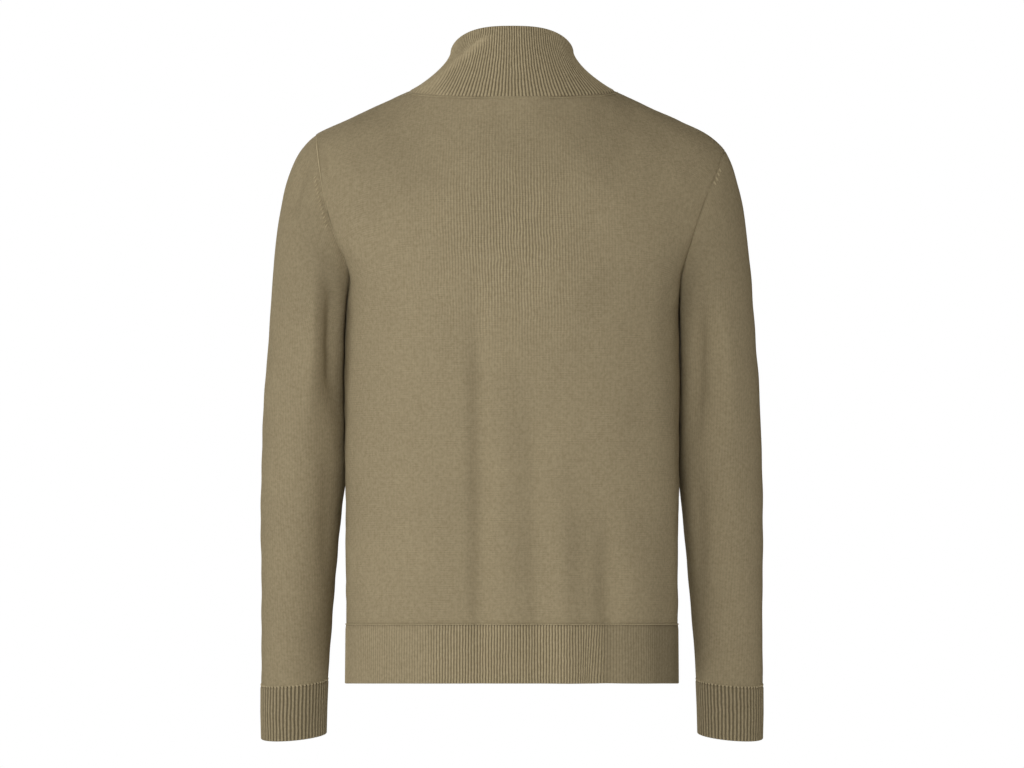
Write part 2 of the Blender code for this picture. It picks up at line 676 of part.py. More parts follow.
def tape(side, rows_of_pieces, line_normals, name, material):
    """A zip tape behind one front edge: made from the cloth's points, moved in."""
    columns = []
    for row, normal in zip(rows_of_pieces, line_normals):
        points = sample(row, np.array([0.0, TAPE_WIDTH / 2, TAPE_WIDTH]))
        start = points[:1] - np.array([[side * (ZIP_HALF - TAPE_EDGE), 0.0, 0.0]])
        points = np.concatenate([start, points])
        across = unit(np.gradient(points, axis=0))
        out = np.cross(across, np.cross(normal, across))
        columns.append((points, unit(out)))
    points = np.stack([c[0] for c in columns])
    out = np.stack([c[1] for c in columns])
    face = points + out * TAPE_FACE
    back = points + out * (TAPE_FACE - TAPE_THICK)
    return wall(name, face, back, False, material)


def box(corners_from, corners_to):
    """Eight corners and six faces of a box in x (across), y (out of the cloth) and z (along)."""
    (x0, y0, z0), (x1, y1, z1) = corners_from, corners_to
    points = [(x, y, z) for z in (z0, z1) for y in (y0, y1) for x in (x0, x1)]
    faces = [(0, 1, 3, 2), (4, 6, 7, 5), (0, 4, 5, 1), (2, 3, 7, 6), (0, 2, 6, 4), (1, 5, 7, 3)]
    return points, faces


def box_object(name, corners_from, corners_to, material, round_edges=0.0):
    """A box as an object, with its edges rounded if that is asked."""
    points, faces = box(corners_from, corners_to)
    obj = solid(name, points, faces, material)
    if round_edges:
        bevel = obj.modifiers.new("round", "BEVEL")
        bevel.width = round_edges
        bevel.segments = 1
    return obj


def joined(base, cutters, operation):
    """Boolean modifiers on base, with the other objects kept as hidden helpers."""
    for other in cutters:
        other.hide_render = True
        other.display_type = "WIRE"
        modifier = base.modifiers.new(operation.lower(), "BOOLEAN")
        modifier.operation = operation
        modifier.solver = "EXACT"
        modifier.object = other
    return base


def zip_frame(point, upward, outward):
    """A matrix from zip coordinates (across, out, along) to the cardigan's."""
    along = Vector(upward).normalized()
    out = Vector(outward)
    out = (out - along * out.dot(along)).normalized()
    across = out.cross(along)
    rotation = Matrix((across, out, along)).transposed().to_4x4()
    return Matrix.Translation(Vector(point)) @ rotation


def build_slider(frame, material):
    """The slider: two plates joined by a post, with a bridge over the pull's bar."""
    half = SLIDER_LENGTH / 2
    plate = box_object(
        "zip_slider",
        (-SLIDER_HALF, PLATE_BACK, -half),
        (SLIDER_HALF, PLATE_FACE, half),
        material,
        PLATE_ROUND,
    )
    inside = PIVOT_HEIGHT + BAR_RADIUS + BRIDGE_GAP
    sunk = PLATE_FACE - SUNK
    others = [
        box_object(
            "slider_backplate",
            (-SLIDER_HALF, BACKPLATE_BACK, -half),
            (SLIDER_HALF, BACKPLATE_FACE, half),
            material,
        ),
        box_object(
            "slider_post",
            (-POST_HALF, BACKPLATE_BACK + SUNK, POST_FROM),
            (POST_HALF, PLATE_BACK + SUNK, POST_TO),
            material,
        ),
        box_object(
            "bridge_top",
            (-BRIDGE_HALF, inside, -BRIDGE_REACH),
            (BRIDGE_HALF, inside + BRIDGE_THICK, BRIDGE_REACH),
            material,
        ),
        box_object(
            "bridge_upper_leg",
            (-BRIDGE_HALF, sunk, BRIDGE_REACH - BRIDGE_THICK),
            (BRIDGE_HALF, inside + BRIDGE_THICK / 2, BRIDGE_REACH),
            material,
        ),
        box_object(
            "bridge_lower_leg",
            (-BRIDGE_HALF, sunk, -BRIDGE_REACH),
            (BRIDGE_HALF, inside + BRIDGE_THICK / 2, BRIDGE_THICK - BRIDGE_REACH),
            material,
        ),
    ]
    for obj in (plate, *others):
        obj.matrix_world = frame
    return joined(plate, others, "UNION")


def build_pull(frame, material):
    """The pull tab, hung by a bar under the bridge. Its origin lies on the bar's axis."""
    eye = PULL_EYE
    plate = box_object(
        "zip_pull",
        (-PULL_HALF, -PULL_THICK / 2, -PULL_LENGTH),
        (PULL_HALF, PULL_THICK / 2, BAR_RADIUS),
        material,
    )
    hole = box_object(
        "pull_eye",
        (-(BRIDGE_HALF + BRIDGE_GAP), -PULL_THICK, -eye),
        (BRIDGE_HALF + BRIDGE_GAP, PULL_THICK, -BAR_RADIUS),
        material,
    )
    pivot = frame @ Matrix.Translation((0.0, PIVOT_HEIGHT, 0.0))
    plate.matrix_world = pivot
    hole.matrix_world = pivot
    return joined(plate, [hole], "DIFFERENCE")


# ---- the whole garment -----------------------------------------------------------------------


def shared(own, other):
    """One normal for two edges where they face alike, and the first one's where they don't."""
    alike = np.clip((own * other).sum(axis=1, keepdims=True), 0.0, 1.0)
    return unit(own + alike * other)


def flattened(normals, ring):
    """A ring's normals with no part along the way that the ring as a whole faces."""
    facing = np.cross(ring - ring.mean(axis=0), np.roll(ring, -1, axis=0) - ring).sum(axis=0)
    facing = facing / np.linalg.norm(facing)
    return unit(normals - (normals @ facing)[:, None] * facing)


def trimmed(grid, inset, side_edges):
    """The grid with its top edge and its given side edges drawn in by half a seam's gap."""
    moved = grid.copy()
    moved[-1] += inset * unit(grid[-2] - grid[-1])
    for edge in side_edges:
        inward = 1 if edge == 0 else -2
        moved[:, edge] += inset * unit(grid[:, inward] - grid[:, edge])
    return moved


def share_seams(back, fronts, seam):
    """Give the panels one normal at each point of the seams that they share."""
    seam_rows = OPEN_ROW * FINE + 1
    reach = int(round(BODY_COLUMNS * FINE * NECK_SHARE))
    middle = back.points.shape[1] // 2
    back.normals[0] = level(back.normals[0])
    for side, front in fronts.items():
        front.normals[0] = level(front.normals[0])
        edge = 0 if side == LEFT else -1
        rows = slice(0, seam_rows)
        together = shared(back.normals[rows, edge], front.normals[rows, -1])
        back.normals[rows, edge] = front.normals[rows, -1] = together
        half = slice(middle, None, -1) if side == LEFT else slice(middle, None)
        over = back.normals[-1, half]
        front.normals[-1] = over[:] = shared(over.copy(), front.normals[-1])
        neck = seam[:, 6:]
        front.normals[-1, : reach + 1] = (neck if side == LEFT else neck[::-1])[: reach + 1]
    behind = slice(middle - reach, middle + reach + 1)
    back.normals[-1, behind] = seam[reach : 3 * reach + 1, 6:]


def build_sleeve(side, word, back, front, materials):
    """A sleeve and its cuff. The armhole's normals are shared with the panels where they face alike."""
    loop = armhole_loop(back.points, front.points, side)
    loop_normals = armhole_loop(back.normals, front.normals, side)
    cloud = body_cloud(back, front, side)
    sleeve = Surface(*sleeve_surface(loop, side, cloud, loop_normals))
    own = sleeve.normals[0].copy()
    sleeve.normals[0] = shared(own, loop_normals)
    sleeve.normals[-1] = flattened(sleeve.normals[-1], sleeve.points[-1])
    together = shared(loop_normals, own)
    shoulder = len(back.points) - 1 - OPEN_ROW * FINE
    edge = 0 if side == LEFT else -1
    back.normals[OPEN_ROW * FINE :, edge] = together[: shoulder + 1]
    front.normals[OPEN_ROW * FINE :, -1] = np.concatenate([together[shoulder:], together[:1]])[::-1]
    points, normals = sleeve.points[::FINE, ::FINE], sleeve.normals[::FINE, ::FINE]
    wall(f"sleeve_{word}", points, points - normals * KNIT_WALL, True, materials["knit"])
    cuff, cuff_normals = cuff_surface(side, 2 * CUFF_RIBS)
    plain, plain_normals = cuff_surface(side, CUFF_PLAIN_COLUMNS)
    inner = plain - plain_normals * RIB_WALL
    wall(f"cuff_{word}", ribbed(cuff, cuff_normals), inner, True, materials["rib"])


def build_panel(name, surface, side_edges, material):
    """A plain knit panel from its fine surface."""
    points, normals = surface.points[::FINE, ::FINE], surface.normals[::FINE, ::FINE]
    points = trimmed(points, SEAM_GAP / 2, side_edges)
    wall(name, points, points - normals * KNIT_WALL, False, material)


def main():
    """Build every piece."""
    clear_scene()
    materials = make_materials()
    knit, rib = materials["knit"], materials["rib"]

    back = Surface(*back_surface())
    fronts = {side: Surface(*front_surface(side)) for side in (LEFT, RIGHT)}
    seam = neck_seam(back.points, {side: front.points for side, front in fronts.items()})
    share_seams(back, fronts, seam)
    for side, word in ((LEFT, "left"), (RIGHT, "right")):
        build_sleeve(side, word, back, fronts[side], materials)
        build_panel(f"front_{word}", fronts[side], (-1,), knit)
    build_panel("back_panel", back, (0, -1), knit)

    band, band_normals = band_surface(2 * HEM_RIBS + 1)
    plain, plain_normals = band_surface(PLAIN_COLUMNS + 1)
    wall("hem_band", ribbed(band, band_normals), plain - plain_normals * RIB_WALL, False, rib)

    seam = seam[::FINE]  # the collar stands on the panels' edges as they are cut into faces
    collar, collar_normals = collar_surface(seam, 2 * COLLAR_RIBS + 1, COLLAR_ROWS)
    plain, plain_normals = collar_surface(seam, PLAIN_COLUMNS + 1, COLLAR_ROWS)
    wall("collar", ribbed(collar, collar_normals), plain - plain_normals * RIB_WALL, False, rib)

    collar_fine, _ = collar_surface(seam, 4 * PLAIN_COLUMNS + 1, COLLAR_ROWS)
    front_points = {side: front.points[::FINE] for side, front in fronts.items()}
    build_zip(band, front_points, collar_fine, materials)


def build_zip(band, fronts, collar, materials):
    """The zip's tapes, chain, box, stops, slider and pull, along the line of the front edges."""
    tape_rows = {}
    for side in (LEFT, RIGHT):
        order = slice(None) if side == LEFT else slice(None, None, -1)
        band_rows = [row[order][:TAPE_RIB_POINTS] for row in band]
        front_rows = [row[:TAPE_POINTS] for row in fronts[side]]
        collar_rows = [row[order][:TAPE_POINTS] for row in collar]
        collar_rows[-1] = collar_rows[-1] + TAPE_TOP_INSET * unit(collar_rows[-2] - collar_rows[-1])
        tape_rows[side] = band_rows[:-1] + front_rows + collar_rows[1:]
    line = np.stack([row[0] for row in tape_rows[LEFT]])
    line[:, 0] = 0.0
    ways = unit(np.gradient(line, axis=0))
    outward = np.stack([np.zeros(len(line)), -ways[:, 2], ways[:, 1]], axis=1)
    for side, word in ((LEFT, "left"), (RIGHT, "right")):
        tape(side, tape_rows[side], outward, f"zip_tape_{word}", materials["tape"])

    along = distances(line)

    def at(distance):
        """Point and outward normal at a distance up the front line."""
        point = np.array([np.interp(distance, along, line[:, axis]) for axis in range(3)])
        normal = np.array([np.interp(distance, along, outward[:, axis]) for axis in range(3)])
        return point, normal

    slider_at = along[-1] - SLIDER_BELOW_TOP
    chain_from, chain_to = BOX_LENGTH + SEAM_GAP, slider_at + CHAIN_END
    inner = along[(along > chain_from + CHAIN_STEP) & (along < chain_to - CHAIN_STEP)]
    stations = [at(d) for d in (chain_from, *inner, chain_to)]
    chain_line = np.stack([s[0] for s in stations])
    chain_out = np.stack([s[1] for s in stations])
    metal = materials["metal"]
    strip(chain_line, chain_out, -CHAIN_HALF, CHAIN_HALF, CHAIN_FACE, CHAIN_BACK, "zip_chain", metal)

    ends = [at(d) for d in (0.0, BOX_LENGTH)]
    box_line, box_out = np.stack([e[0] for e in ends]), np.stack([e[1] for e in ends])
    strip(box_line, box_out, -CHAIN_HALF, CHAIN_HALF, CHAIN_FACE, CHAIN_BACK, "zip_box", metal)
    ends = [at(slider_at + d) for d in (STOP_FROM, STOP_TO)]
    stop_line, stop_out = np.stack([e[0] for e in ends]), np.stack([e[1] for e in ends])
    for side, word in ((LEFT, "left"), (RIGHT, "right")):
        x_from, x_to = sorted((side * STOP_INNER, side * CHAIN_HALF))
        strip(stop_line, stop_out, x_from, x_to, CHAIN_FACE, CHAIN_BACK, f"zip_stop_{word}", metal)

    point, normal = at(slider_at)
    below, _ = at(slider_at - SLIDER_LENGTH / 2)
    above, _ = at(slider_at + SLIDER_LENGTH / 2)
    frame = zip_frame(point, above - below, normal)
    build_slider(frame, metal)
    build_pull(frame, metal)


main()
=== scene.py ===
"""The looks of a knitted zip-up cardigan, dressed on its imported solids.

Metres, +Z up, the front faces -Y and the wearer's left is +X. Every cloth piece is a thin wall
whose outer face follows the same tables of sections as its solid, on a much finer grid, with the
rolled edges, ribs, seams and linking stitches that the solids leave out.
"""

import logging
import math
from dataclasses import dataclass, field
from enum import Enum
from typing import Any, NamedTuple

import bpy
import numpy as np
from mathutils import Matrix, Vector


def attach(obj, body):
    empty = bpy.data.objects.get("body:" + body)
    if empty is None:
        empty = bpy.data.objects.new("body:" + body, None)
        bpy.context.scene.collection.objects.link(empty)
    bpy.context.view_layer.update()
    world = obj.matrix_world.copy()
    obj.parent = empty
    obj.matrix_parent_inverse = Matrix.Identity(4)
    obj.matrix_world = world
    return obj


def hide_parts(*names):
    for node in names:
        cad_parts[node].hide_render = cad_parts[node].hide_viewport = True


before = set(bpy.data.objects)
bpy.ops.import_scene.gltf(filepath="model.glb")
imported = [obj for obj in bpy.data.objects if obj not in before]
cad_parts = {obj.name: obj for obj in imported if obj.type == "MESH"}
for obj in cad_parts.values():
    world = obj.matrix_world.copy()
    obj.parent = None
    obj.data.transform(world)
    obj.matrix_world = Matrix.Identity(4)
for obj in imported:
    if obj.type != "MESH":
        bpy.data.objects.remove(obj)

LOG = logging.getLogger("cardigan")
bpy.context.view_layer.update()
GARMENT, PULL = "cardigan", "zip_pull"

Array = np.ndarray
Piece = bpy.types.Object
Material = bpy.types.Material
Socket = bpy.types.NodeSocket
Pair = tuple[float, float]
Triple = tuple[float, float, float]
Colour = Triple
Pod = tuple[Array, list[Array]]

CROWDING, CROWDING_POWER = 0.6, 10
WAVES, WAVES_SIZE, SHORTEST_WAVE = 10, 3.2, 0.33
ROUND_POINTS = 721


class Side(Enum):
    """The wearer's side, with the sign of its x."""

    LEFT = 1
    RIGHT = -1

    @property
    def word(self) -> str:
        """The side's name in lower case, as the nodes have it."""
        return self.name.lower()


# ---- curves and grids ----


def unit(vectors: Array) -> Array:
    """Each vector at length 1."""
    return vectors / np.maximum(np.linalg.norm(vectors, axis=-1, keepdims=True), 1e-12)


def smooth_step(share: Array) -> Array:
    """0 below 0, 1 above 1, and 3s^2 - 2s^3 between."""
    share = np.clip(share, 0.0, 1.0)
    return share * share * (3.0 - 2.0 * share)


def bell(distance: Array, width: float | Array) -> Array:
    """1 at distance 0, falling as exp(-(distance / width)^2)."""
    return np.exp(-((distance / width) ** 2))


def crowded(share: Array, at_start: bool = False) -> Array:
    """Even shares from 0 to 1, drawn together near their end, or near their start.

    The share s becomes s + CROWDING * (1 - s) * s^CROWDING_POWER, so that near 1 the steps
    shrink to 1 - CROWDING of their length, and farther off they hardly change.
    """
    if at_start:
        return share - CROWDING * share * (1.0 - share) ** CROWDING_POWER
    return share + CROWDING * (1.0 - share) * share**CROWDING_POWER


def ramp(values: Array, span: Pair) -> Array:
    """A smooth rise from 0 where a span starts to 1 one run farther; a run may be negative."""
    return smooth_step((values - span[0]) / span[1])


def faded(share: Array, run: float) -> Array:
    """1 between the shares 0 and 1, with a smooth fade within run of either."""
    return smooth_step(share / run) * smooth_step((1 - share) / run)


def loft(
    knots: Array,
    shares: list[Array],
    start: Array | None = None,
    end: Array | None = None,
    start_pull: float = 1.0,
    end_pull: float = 1.0,
    side_turn: tuple[int, Array, Array] | None = None,
) -> Array:
    """Smooth columns through rows of points.

    Each span is the cubic of Hermite between two knots, (2t^3-3t^2+1)P + (t^3-2t^2+t)U +
    (3t^2-2t^3)Q + (t^3-t^2)V, whose end slopes U and V follow the neighbouring chords, weighted
    by their lengths.

    Args:
        knots: rows x columns x 3.
        shares: for each span, the values of t in it, from just over 0 to 1.
        start: the ways in which the columns leave the first row.
        end: the ways in which they reach the last one.
        start_pull: length of the first slope, as a share of the chord.
        end_pull: length of the last slope.
        side_turn: row, share for each column, and way: there the columns arrive straight and
            leave in that way, by as much as their share.

    Returns:
        Rows x columns x 3, with the first row of knots first.
    """
    chords = np.diff(knots, axis=0)
    lengths = np.linalg.norm(chords, axis=-1, keepdims=True)
    ways = chords / np.maximum(lengths, 1e-9)
    slopes = np.empty_like(knots)
    slopes[1:-1] = unit(lengths[1:] * ways[:-1] + lengths[:-1] * ways[1:])
    slopes[0] = ways[0] if start is None else unit(start)
    slopes[-1] = ways[-1] if end is None else unit(end)
    arriving, leaving = slopes.copy(), slopes.copy()
    if side_turn:
        row, share, way = side_turn
        arriving[row] = unit((1 - share) * slopes[row] + share * ways[row - 1])
        leaving[row] = unit((1 - share) * slopes[row] + share * way)
    pulls = np.ones((len(shares), 2))
    pulls[0, 0], pulls[-1, 1] = start_pull, end_pull
    rows = [knots[:1]]
    for span, at in enumerate(shares):
        t = at[:, None, None]
        leave = lengths[span] * leaving[span] * pulls[span, 0]
        arrive = lengths[span] * arriving[span + 1] * pulls[span, 1]
        rows.append(
            (2 * t**3 - 3 * t**2 + 1) * knots[span]
            + (t**3 - 2 * t**2 + t) * leave
            + (3 * t**2 - 2 * t**3) * knots[span + 1]
            + (t**3 - t**2) * arrive
        )
    return np.concatenate(rows)


def span_shares(counts: tuple[int, ...], first: bool = True, last: bool = True) -> list[Array]:
    """Even values of t in each span, drawn together at the first and the last row if asked."""
    shares = []
    for span, count in enumerate(counts):
        even = np.linspace(0.0, 1.0, count + 1)
        if span == 0 and first:
            even = crowded(even, at_start=True)
        if span == len(counts) - 1 and last:
            even = crowded(even)
        shares.append(even[1:])
    return shares


def distances(line: Array, keep: Array | float = 1.0) -> Array:
    """How far along a line of points each one lies, with each axis counted by its share."""
    steps = np.linalg.norm(np.diff(line[:, :3], axis=0) * keep, axis=1)
    return np.concatenate([[0.0], np.cumsum(steps)])


def sample(line: Array, wanted: Array, keep: Array | float = 1.0) -> Array:
    """A line's points, and the values carried beside them, at wanted distances along it."""
    along = distances(line, keep)
    return np.stack([np.interp(wanted, along, channel) for channel in line.T], axis=1)


def spread(line: Array, count: int, keep: Array | float = 1.0) -> Array:
    """count points at equal steps along a line, longer along an axis that counts little."""
    return sample(line, np.linspace(0.0, distances(line, keep)[-1], count), keep)


def from_axis(grid: Array) -> Array:
    """Vectors straight out from the vertical middle axis."""
    return grid * np.array([1.0, 1.0, 0.0])


def level(vectors: Array) -> Array:
    """Each vector turned level, at length 1."""
    return unit(from_axis(vectors))


def changes(grid: Array, closed: bool, axis: int = 1) -> Array:
    """How a grid changes along an axis, round to its start if it is closed."""
    if closed:
        return (np.roll(grid, -1, axis=axis) - np.roll(grid, 1, axis=axis)) / 2
    return np.gradient(grid, axis=axis)


def grid_normals(grid: Array, closed: bool, outward: Array) -> Array:
    """Unit normals of a grid: the cross product of its two differences, turned outward."""
    normals = unit(np.cross(changes(grid, closed), np.gradient(grid, axis=0)))
    return normals if (normals * outward).sum() > 0 else -normals


def body_normals(grid: Array) -> Array:
    """Unit normals of an open grid, turned away from the vertical middle axis."""
    return grid_normals(grid, False, from_axis(grid))


def tube_normals(grid: Array) -> Array:
    """Unit normals of a closed tube, turned away from the middle of each row."""
    return grid_normals(grid, True, grid - grid.mean(axis=1, keepdims=True))


def run_down(grid: Array) -> Array:
    """How far along its column each point of a grid lies, from the first row."""
    steps = np.linalg.norm(np.diff(grid, axis=0), axis=-1)
    return np.concatenate([np.zeros((1, grid.shape[1])), np.cumsum(steps, axis=0)])


def run_across(grid: Array, middle: int) -> Array:
    """How far along its row each point lies from the middle column, negative before it."""
    steps = np.linalg.norm(np.diff(grid, axis=1), axis=-1)
    run = np.concatenate([np.zeros((grid.shape[0], 1)), np.cumsum(steps, axis=1)], axis=1)
    return run - run[:, middle : middle + 1]


def unevenness(points: Array, amount: float, seed: int, longest: float = 0.085) -> Array:
    """A soft irregular height over space: the sum of WAVES plane waves of random way and phase.

    Args:
        points: any array of points.
        amount: about the largest height.
        seed: of the waves' random numbers.
        longest: the longest wavelength; the shortest is SHORTEST_WAVE of it.

    Returns:
        One height for each point.
    """
    random = np.random.default_rng(seed)
    heights = np.zeros(points.shape[:-1])
    for _ in range(WAVES):
        way = unit(random.normal(size=3))
        wave = 2 * math.pi / (longest * random.uniform(SHORTEST_WAVE, 1.0))
        heights += np.sin(points @ way * wave + random.uniform(0.0, 2 * math.pi))
    return heights * amount / WAVES_SIZE


def blurred(values: Array, times: int, closed: bool) -> Array:
    """A grid of values, each time mixed by quarters with its neighbours along both axes."""
    for _ in range(times):
        padded = np.pad(values, ((1, 1), (0, 0)), mode="edge")
        values = (padded[:-2] + 2 * values + padded[2:]) / 4
        padded = np.pad(values, ((0, 0), (1, 1)), mode="wrap" if closed else "edge")
        values = (padded[:, :-2] + 2 * values + padded[:, 2:]) / 4
    return values


# ---- meshes ----


def make_object(
    name: str, points: Array, faces: list[Array], uv: Array, values: dict[str, Array],
    material: Material, sharp: float | None = None,
) -> Piece:
    """A mesh object at the origin, with its faces turned to point out.

    Args:
        name: of the piece.
        points: n x 3.
        faces: arrays of faces x corners x 2, of point numbers and rows in uv, or of
            faces x corners where these are the same.
        uv: coordinates in metres, m x 2.
        values: attributes of the points, by name.
        material: for the whole piece.
        sharp: the angle in degrees over which an edge is sharp, if any is.

    Returns:
        The object, linked to the scene.
    """
    pairs = [part if part.ndim == 3 else np.stack([part, part], axis=-1) for part in faces]
    flat, corner = (np.concatenate([part[..., i].ravel() for part in pairs]) for i in range(2))
    sizes = np.concatenate([np.full(len(part), part.shape[1]) for part in pairs])
    starts = np.concatenate([[0], np.cumsum(sizes)[:-1]])
    fans = np.concatenate(
        [part[:, [0, i, i + 1], 0] for part in pairs for i in range(1, part.shape[1] - 1)]
    )
    a, b, c = (points[fans[:, i]] for i in range(3))
    if (np.cross(a, b) * c).sum() < 0:
        ends = starts + sizes - 1
        turned = np.repeat(starts + ends, sizes) - np.arange(len(flat))
        flat, corner = flat[turned], corner[turned]
    mesh = bpy.data.meshes.new(name)
    mesh.vertices.add(len(points))
    mesh.vertices.foreach_set("co", points.astype(np.float32).ravel())
    mesh.loops.add(len(flat))
    mesh.loops.foreach_set("vertex_index", flat.astype(np.int32))
    mesh.polygons.add(len(sizes))
    mesh.polygons.foreach_set("loop_start", starts.astype(np.int32))
    mesh.update(calc_edges=True)
    layer = mesh.uv_layers.new(name="cloth")
    layer.uv.foreach_set("vector", uv[corner].astype(np.float32).ravel())
    for word, numbers in values.items():
        attribute = mesh.attributes.new(word, "FLOAT", "POINT")
        attribute.data.foreach_set("value", numbers.astype(np.float32).ravel())
    mesh.materials.append(material)
    mesh.shade_smooth()
    if sharp is not None:
        mesh.set_sharp_from_angle(angle=math.radians(sharp))
    obj = bpy.data.objects.new(name, mesh)
    bpy.context.scene.collection.objects.link(obj)
    return obj


def index_grid(rows: int, columns: int, closed: bool, point: int, corner: int) -> Array:
    """Point and corner numbers of a grid, rows x columns x 2. A closed grid repeats its first
    column at the end, with corner numbers of its own, so that its UV map doesn't jump back."""
    wide = columns + int(closed)
    corners = corner + np.arange(rows * wide).reshape(rows, wide)
    points = point + np.arange(rows)[:, None] * columns + (np.arange(wide) % columns)[None, :]
    return np.stack([points, corners], axis=-1)


def cells(index: Array, turned: bool = False) -> Array:
    """The four-sided faces of an index grid, faces x 4 x 2, or faces x 4 of point numbers."""
    ring = [index[:-1, :-1], index[:-1, 1:], index[1:, 1:], index[1:, :-1]]
    if turned:
        ring = ring[::-1]
    return np.stack(ring, axis=2).reshape(-1, 4, *index.shape[2:])


def seam_strip(outer: Array, inner: Array, forward: bool) -> Array:
    """Triangles between a line of points and one with a whole share of its steps.

    The first half of the outer steps beside an inner step meet at its start and the rest at its
    end, and one more triangle fills the inner step itself.

    Args:
        outer: index line, points x 2.
        inner: index line with fewer steps.
        forward: whether the triangles run along the outer line in its own direction.

    Returns:
        Triangles x 3 x 2.
    """
    ratio = (len(outer) - 1) // (len(inner) - 1)
    steps = np.arange(len(outer) - 1)
    meets = steps // ratio + (steps % ratio >= (ratio + 1) // 2)
    fans = np.stack([outer[:-1], outer[1:], inner[meets]], axis=1)
    starts = np.arange(len(inner) - 1)
    tips = outer[starts * ratio + (ratio + 1) // 2]
    fill = np.stack([inner[1:], inner[:-1], tips], axis=1)
    both = np.concatenate([fans, fill])
    return both if forward else both[:, ::-1]


class ClothWall(NamedTuple):
    """The outer and inner grids of a cloth wall, with its UV map and the finish's values."""

    outer: Array
    inner: Array
    uv: Array
    values: dict[str, Array]
    closed: bool = False

    def build(
        self, name: str, material: Material, steps: tuple[int, int], sharp: float | None = None
    ) -> Piece:
        """The closed wall as an object.

        Args:
            name: of the piece.
            material: of the whole wall.
            steps: how many rows and columns of the outer grid go to one of the inner grid.
            sharp: the angle over which an edge is sharp, if any is.

        Returns:
            The object.
        """
        inner = self.inner[:: steps[0], :: steps[1]]
        inner_uv = self.uv[:: steps[0], :: steps[1]]
        rows, columns = self.outer.shape[:2]
        split_points, split_corners = rows * columns, self.uv.shape[0] * self.uv.shape[1]
        out = index_grid(rows, columns, self.closed, 0, 0)
        back = index_grid(*inner.shape[:2], self.closed, split_points, split_corners)
        strips = [seam_strip(out[0], back[0], False), seam_strip(out[-1], back[-1], True)]
        if not self.closed:
            strips += [
                seam_strip(out[:, 0], back[:, 0], True),
                seam_strip(out[:, -1], back[:, -1], False),
            ]
        faces = [cells(out), cells(back, True), np.concatenate(strips)]
        values = {
            word: np.concatenate([numbers.ravel(), numbers[:: steps[0], :: steps[1]].ravel()])
            for word, numbers in self.values.items()
        }
        points = np.concatenate([self.outer.reshape(-1, 3), inner.reshape(-1, 3)])
        uv = np.concatenate([self.uv.reshape(-1, 2), inner_uv.reshape(-1, 2)])
        return make_object(name, points, faces, uv, values, material, sharp)


CORD_ROUND = 0.004


def tube_along(
    name: str, line: Array, normals: Array, radius: Array, flat: float, material: Material,
    sides: int = 6, closed: bool = False,
) -> Piece:
    """A cord along a line: the point at share s and turn a lies at line(s) + radius(s) *
    (cos a * across + sin a * flat * normal), and its ends close on the line itself.

    Args:
        name: of the piece.
        line: points x 3.
        normals: the cloth's outward normals on the line.
        radius: one for each point.
        flat: height over width.
        material: of the cord.
        sides: points round the cord.
        closed: whether the line comes back to its start.

    Returns:
        The object.
    """
    ahead = unit(changes(line, closed, 0))
    across = unit(np.cross(ahead, normals))
    out = np.cross(across, ahead)
    turn = (np.arange(sides) / sides * 2 * math.pi)[None, :, None]
    ring = np.cos(turn) * across[:, None] + flat * np.sin(turn) * out[:, None]
    grid = line[:, None] + radius[:, None, None] * ring
    count = len(line)
    run = distances(line)
    u = np.broadcast_to(np.arange(sides + 1) / sides, (count, sides + 1))
    v = np.broadcast_to(run[:, None], (count, sides + 1))
    uv = np.stack([u * CORD_ROUND, v], axis=-1)
    index = index_grid(count, sides, True, 0, 0)
    if closed:
        index = np.concatenate([index, index[:1]])
        faces, points = [cells(index)], grid.reshape(-1, 3)
    else:
        points = np.concatenate([grid.reshape(-1, 3), line[[0, -1]]])
        tips = []
        for row, tip, forward in ((0, count * sides, False), (-1, count * sides + 1, True)):
            rim = index[row]
            middle = np.broadcast_to(np.array([tip, rim[0, 1]]), rim[:-1].shape)
            fan = np.stack([rim[:-1], rim[1:], middle], axis=1)
            tips.append(fan[:, ::-1] if not forward else fan)
        faces = [cells(index, True), np.concatenate(tips)]
    return make_object(name, points, faces, uv.reshape(-1, 2), {}, material)


def pod(rings: int, sides: int, square: float = 1.0) -> Pod:
    """A closed rounded pod that fills a cube of half size 1.

    At latitude a and turn b it is the superellipsoid (cos a cos b, cos a sin b, sin a), with the
    size of each sine and cosine to the power square: 1 is a ball, less is boxier.

    Args:
        rings: how many between its poles.
        sides: points on each ring.
        square: the power.

    Returns:
        Points, and faces as arrays of point numbers.
    """

    def power(value: Array) -> Array:
        """The value's size to the power square, with its sign kept."""
        return np.sign(value) * np.abs(value) ** square

    latitude = np.linspace(-math.pi / 2, math.pi / 2, rings + 2)[1:-1, None]
    turn = (np.arange(sides) / sides * 2 * math.pi)[None, :]
    grid = np.stack(
        [
            power(np.cos(latitude)) * power(np.cos(turn)),
            power(np.cos(latitude)) * power(np.sin(turn)),
            power(np.sin(latitude)) * np.ones_like(turn),
        ],
        axis=-1,
    )
    points = np.concatenate([grid.reshape(-1, 3), [[0.0, 0.0, -1.0], [0.0, 0.0, 1.0]]])
    index = index_grid(rings, sides, True, 0, 0)[..., 0]
    low, high = np.full(sides, rings * sides), np.full(sides, rings * sides + 1)
    fans = np.concatenate(
        [
            np.stack([index[0, 1:], index[0, :-1], low], axis=1),
            np.stack([index[-1, :-1], index[-1, 1:], high], axis=1),
        ]
    )
    return points, [cells(index), fans]


def half_axes(out: Array, ahead: Array, size: Triple) -> Array:
    """Half axes of pods whose length lies along ahead and whose thickness along out."""
    across, thick, length = size
    return np.stack([unit(np.cross(out, ahead)) * across, out * thick, ahead * length], axis=1)


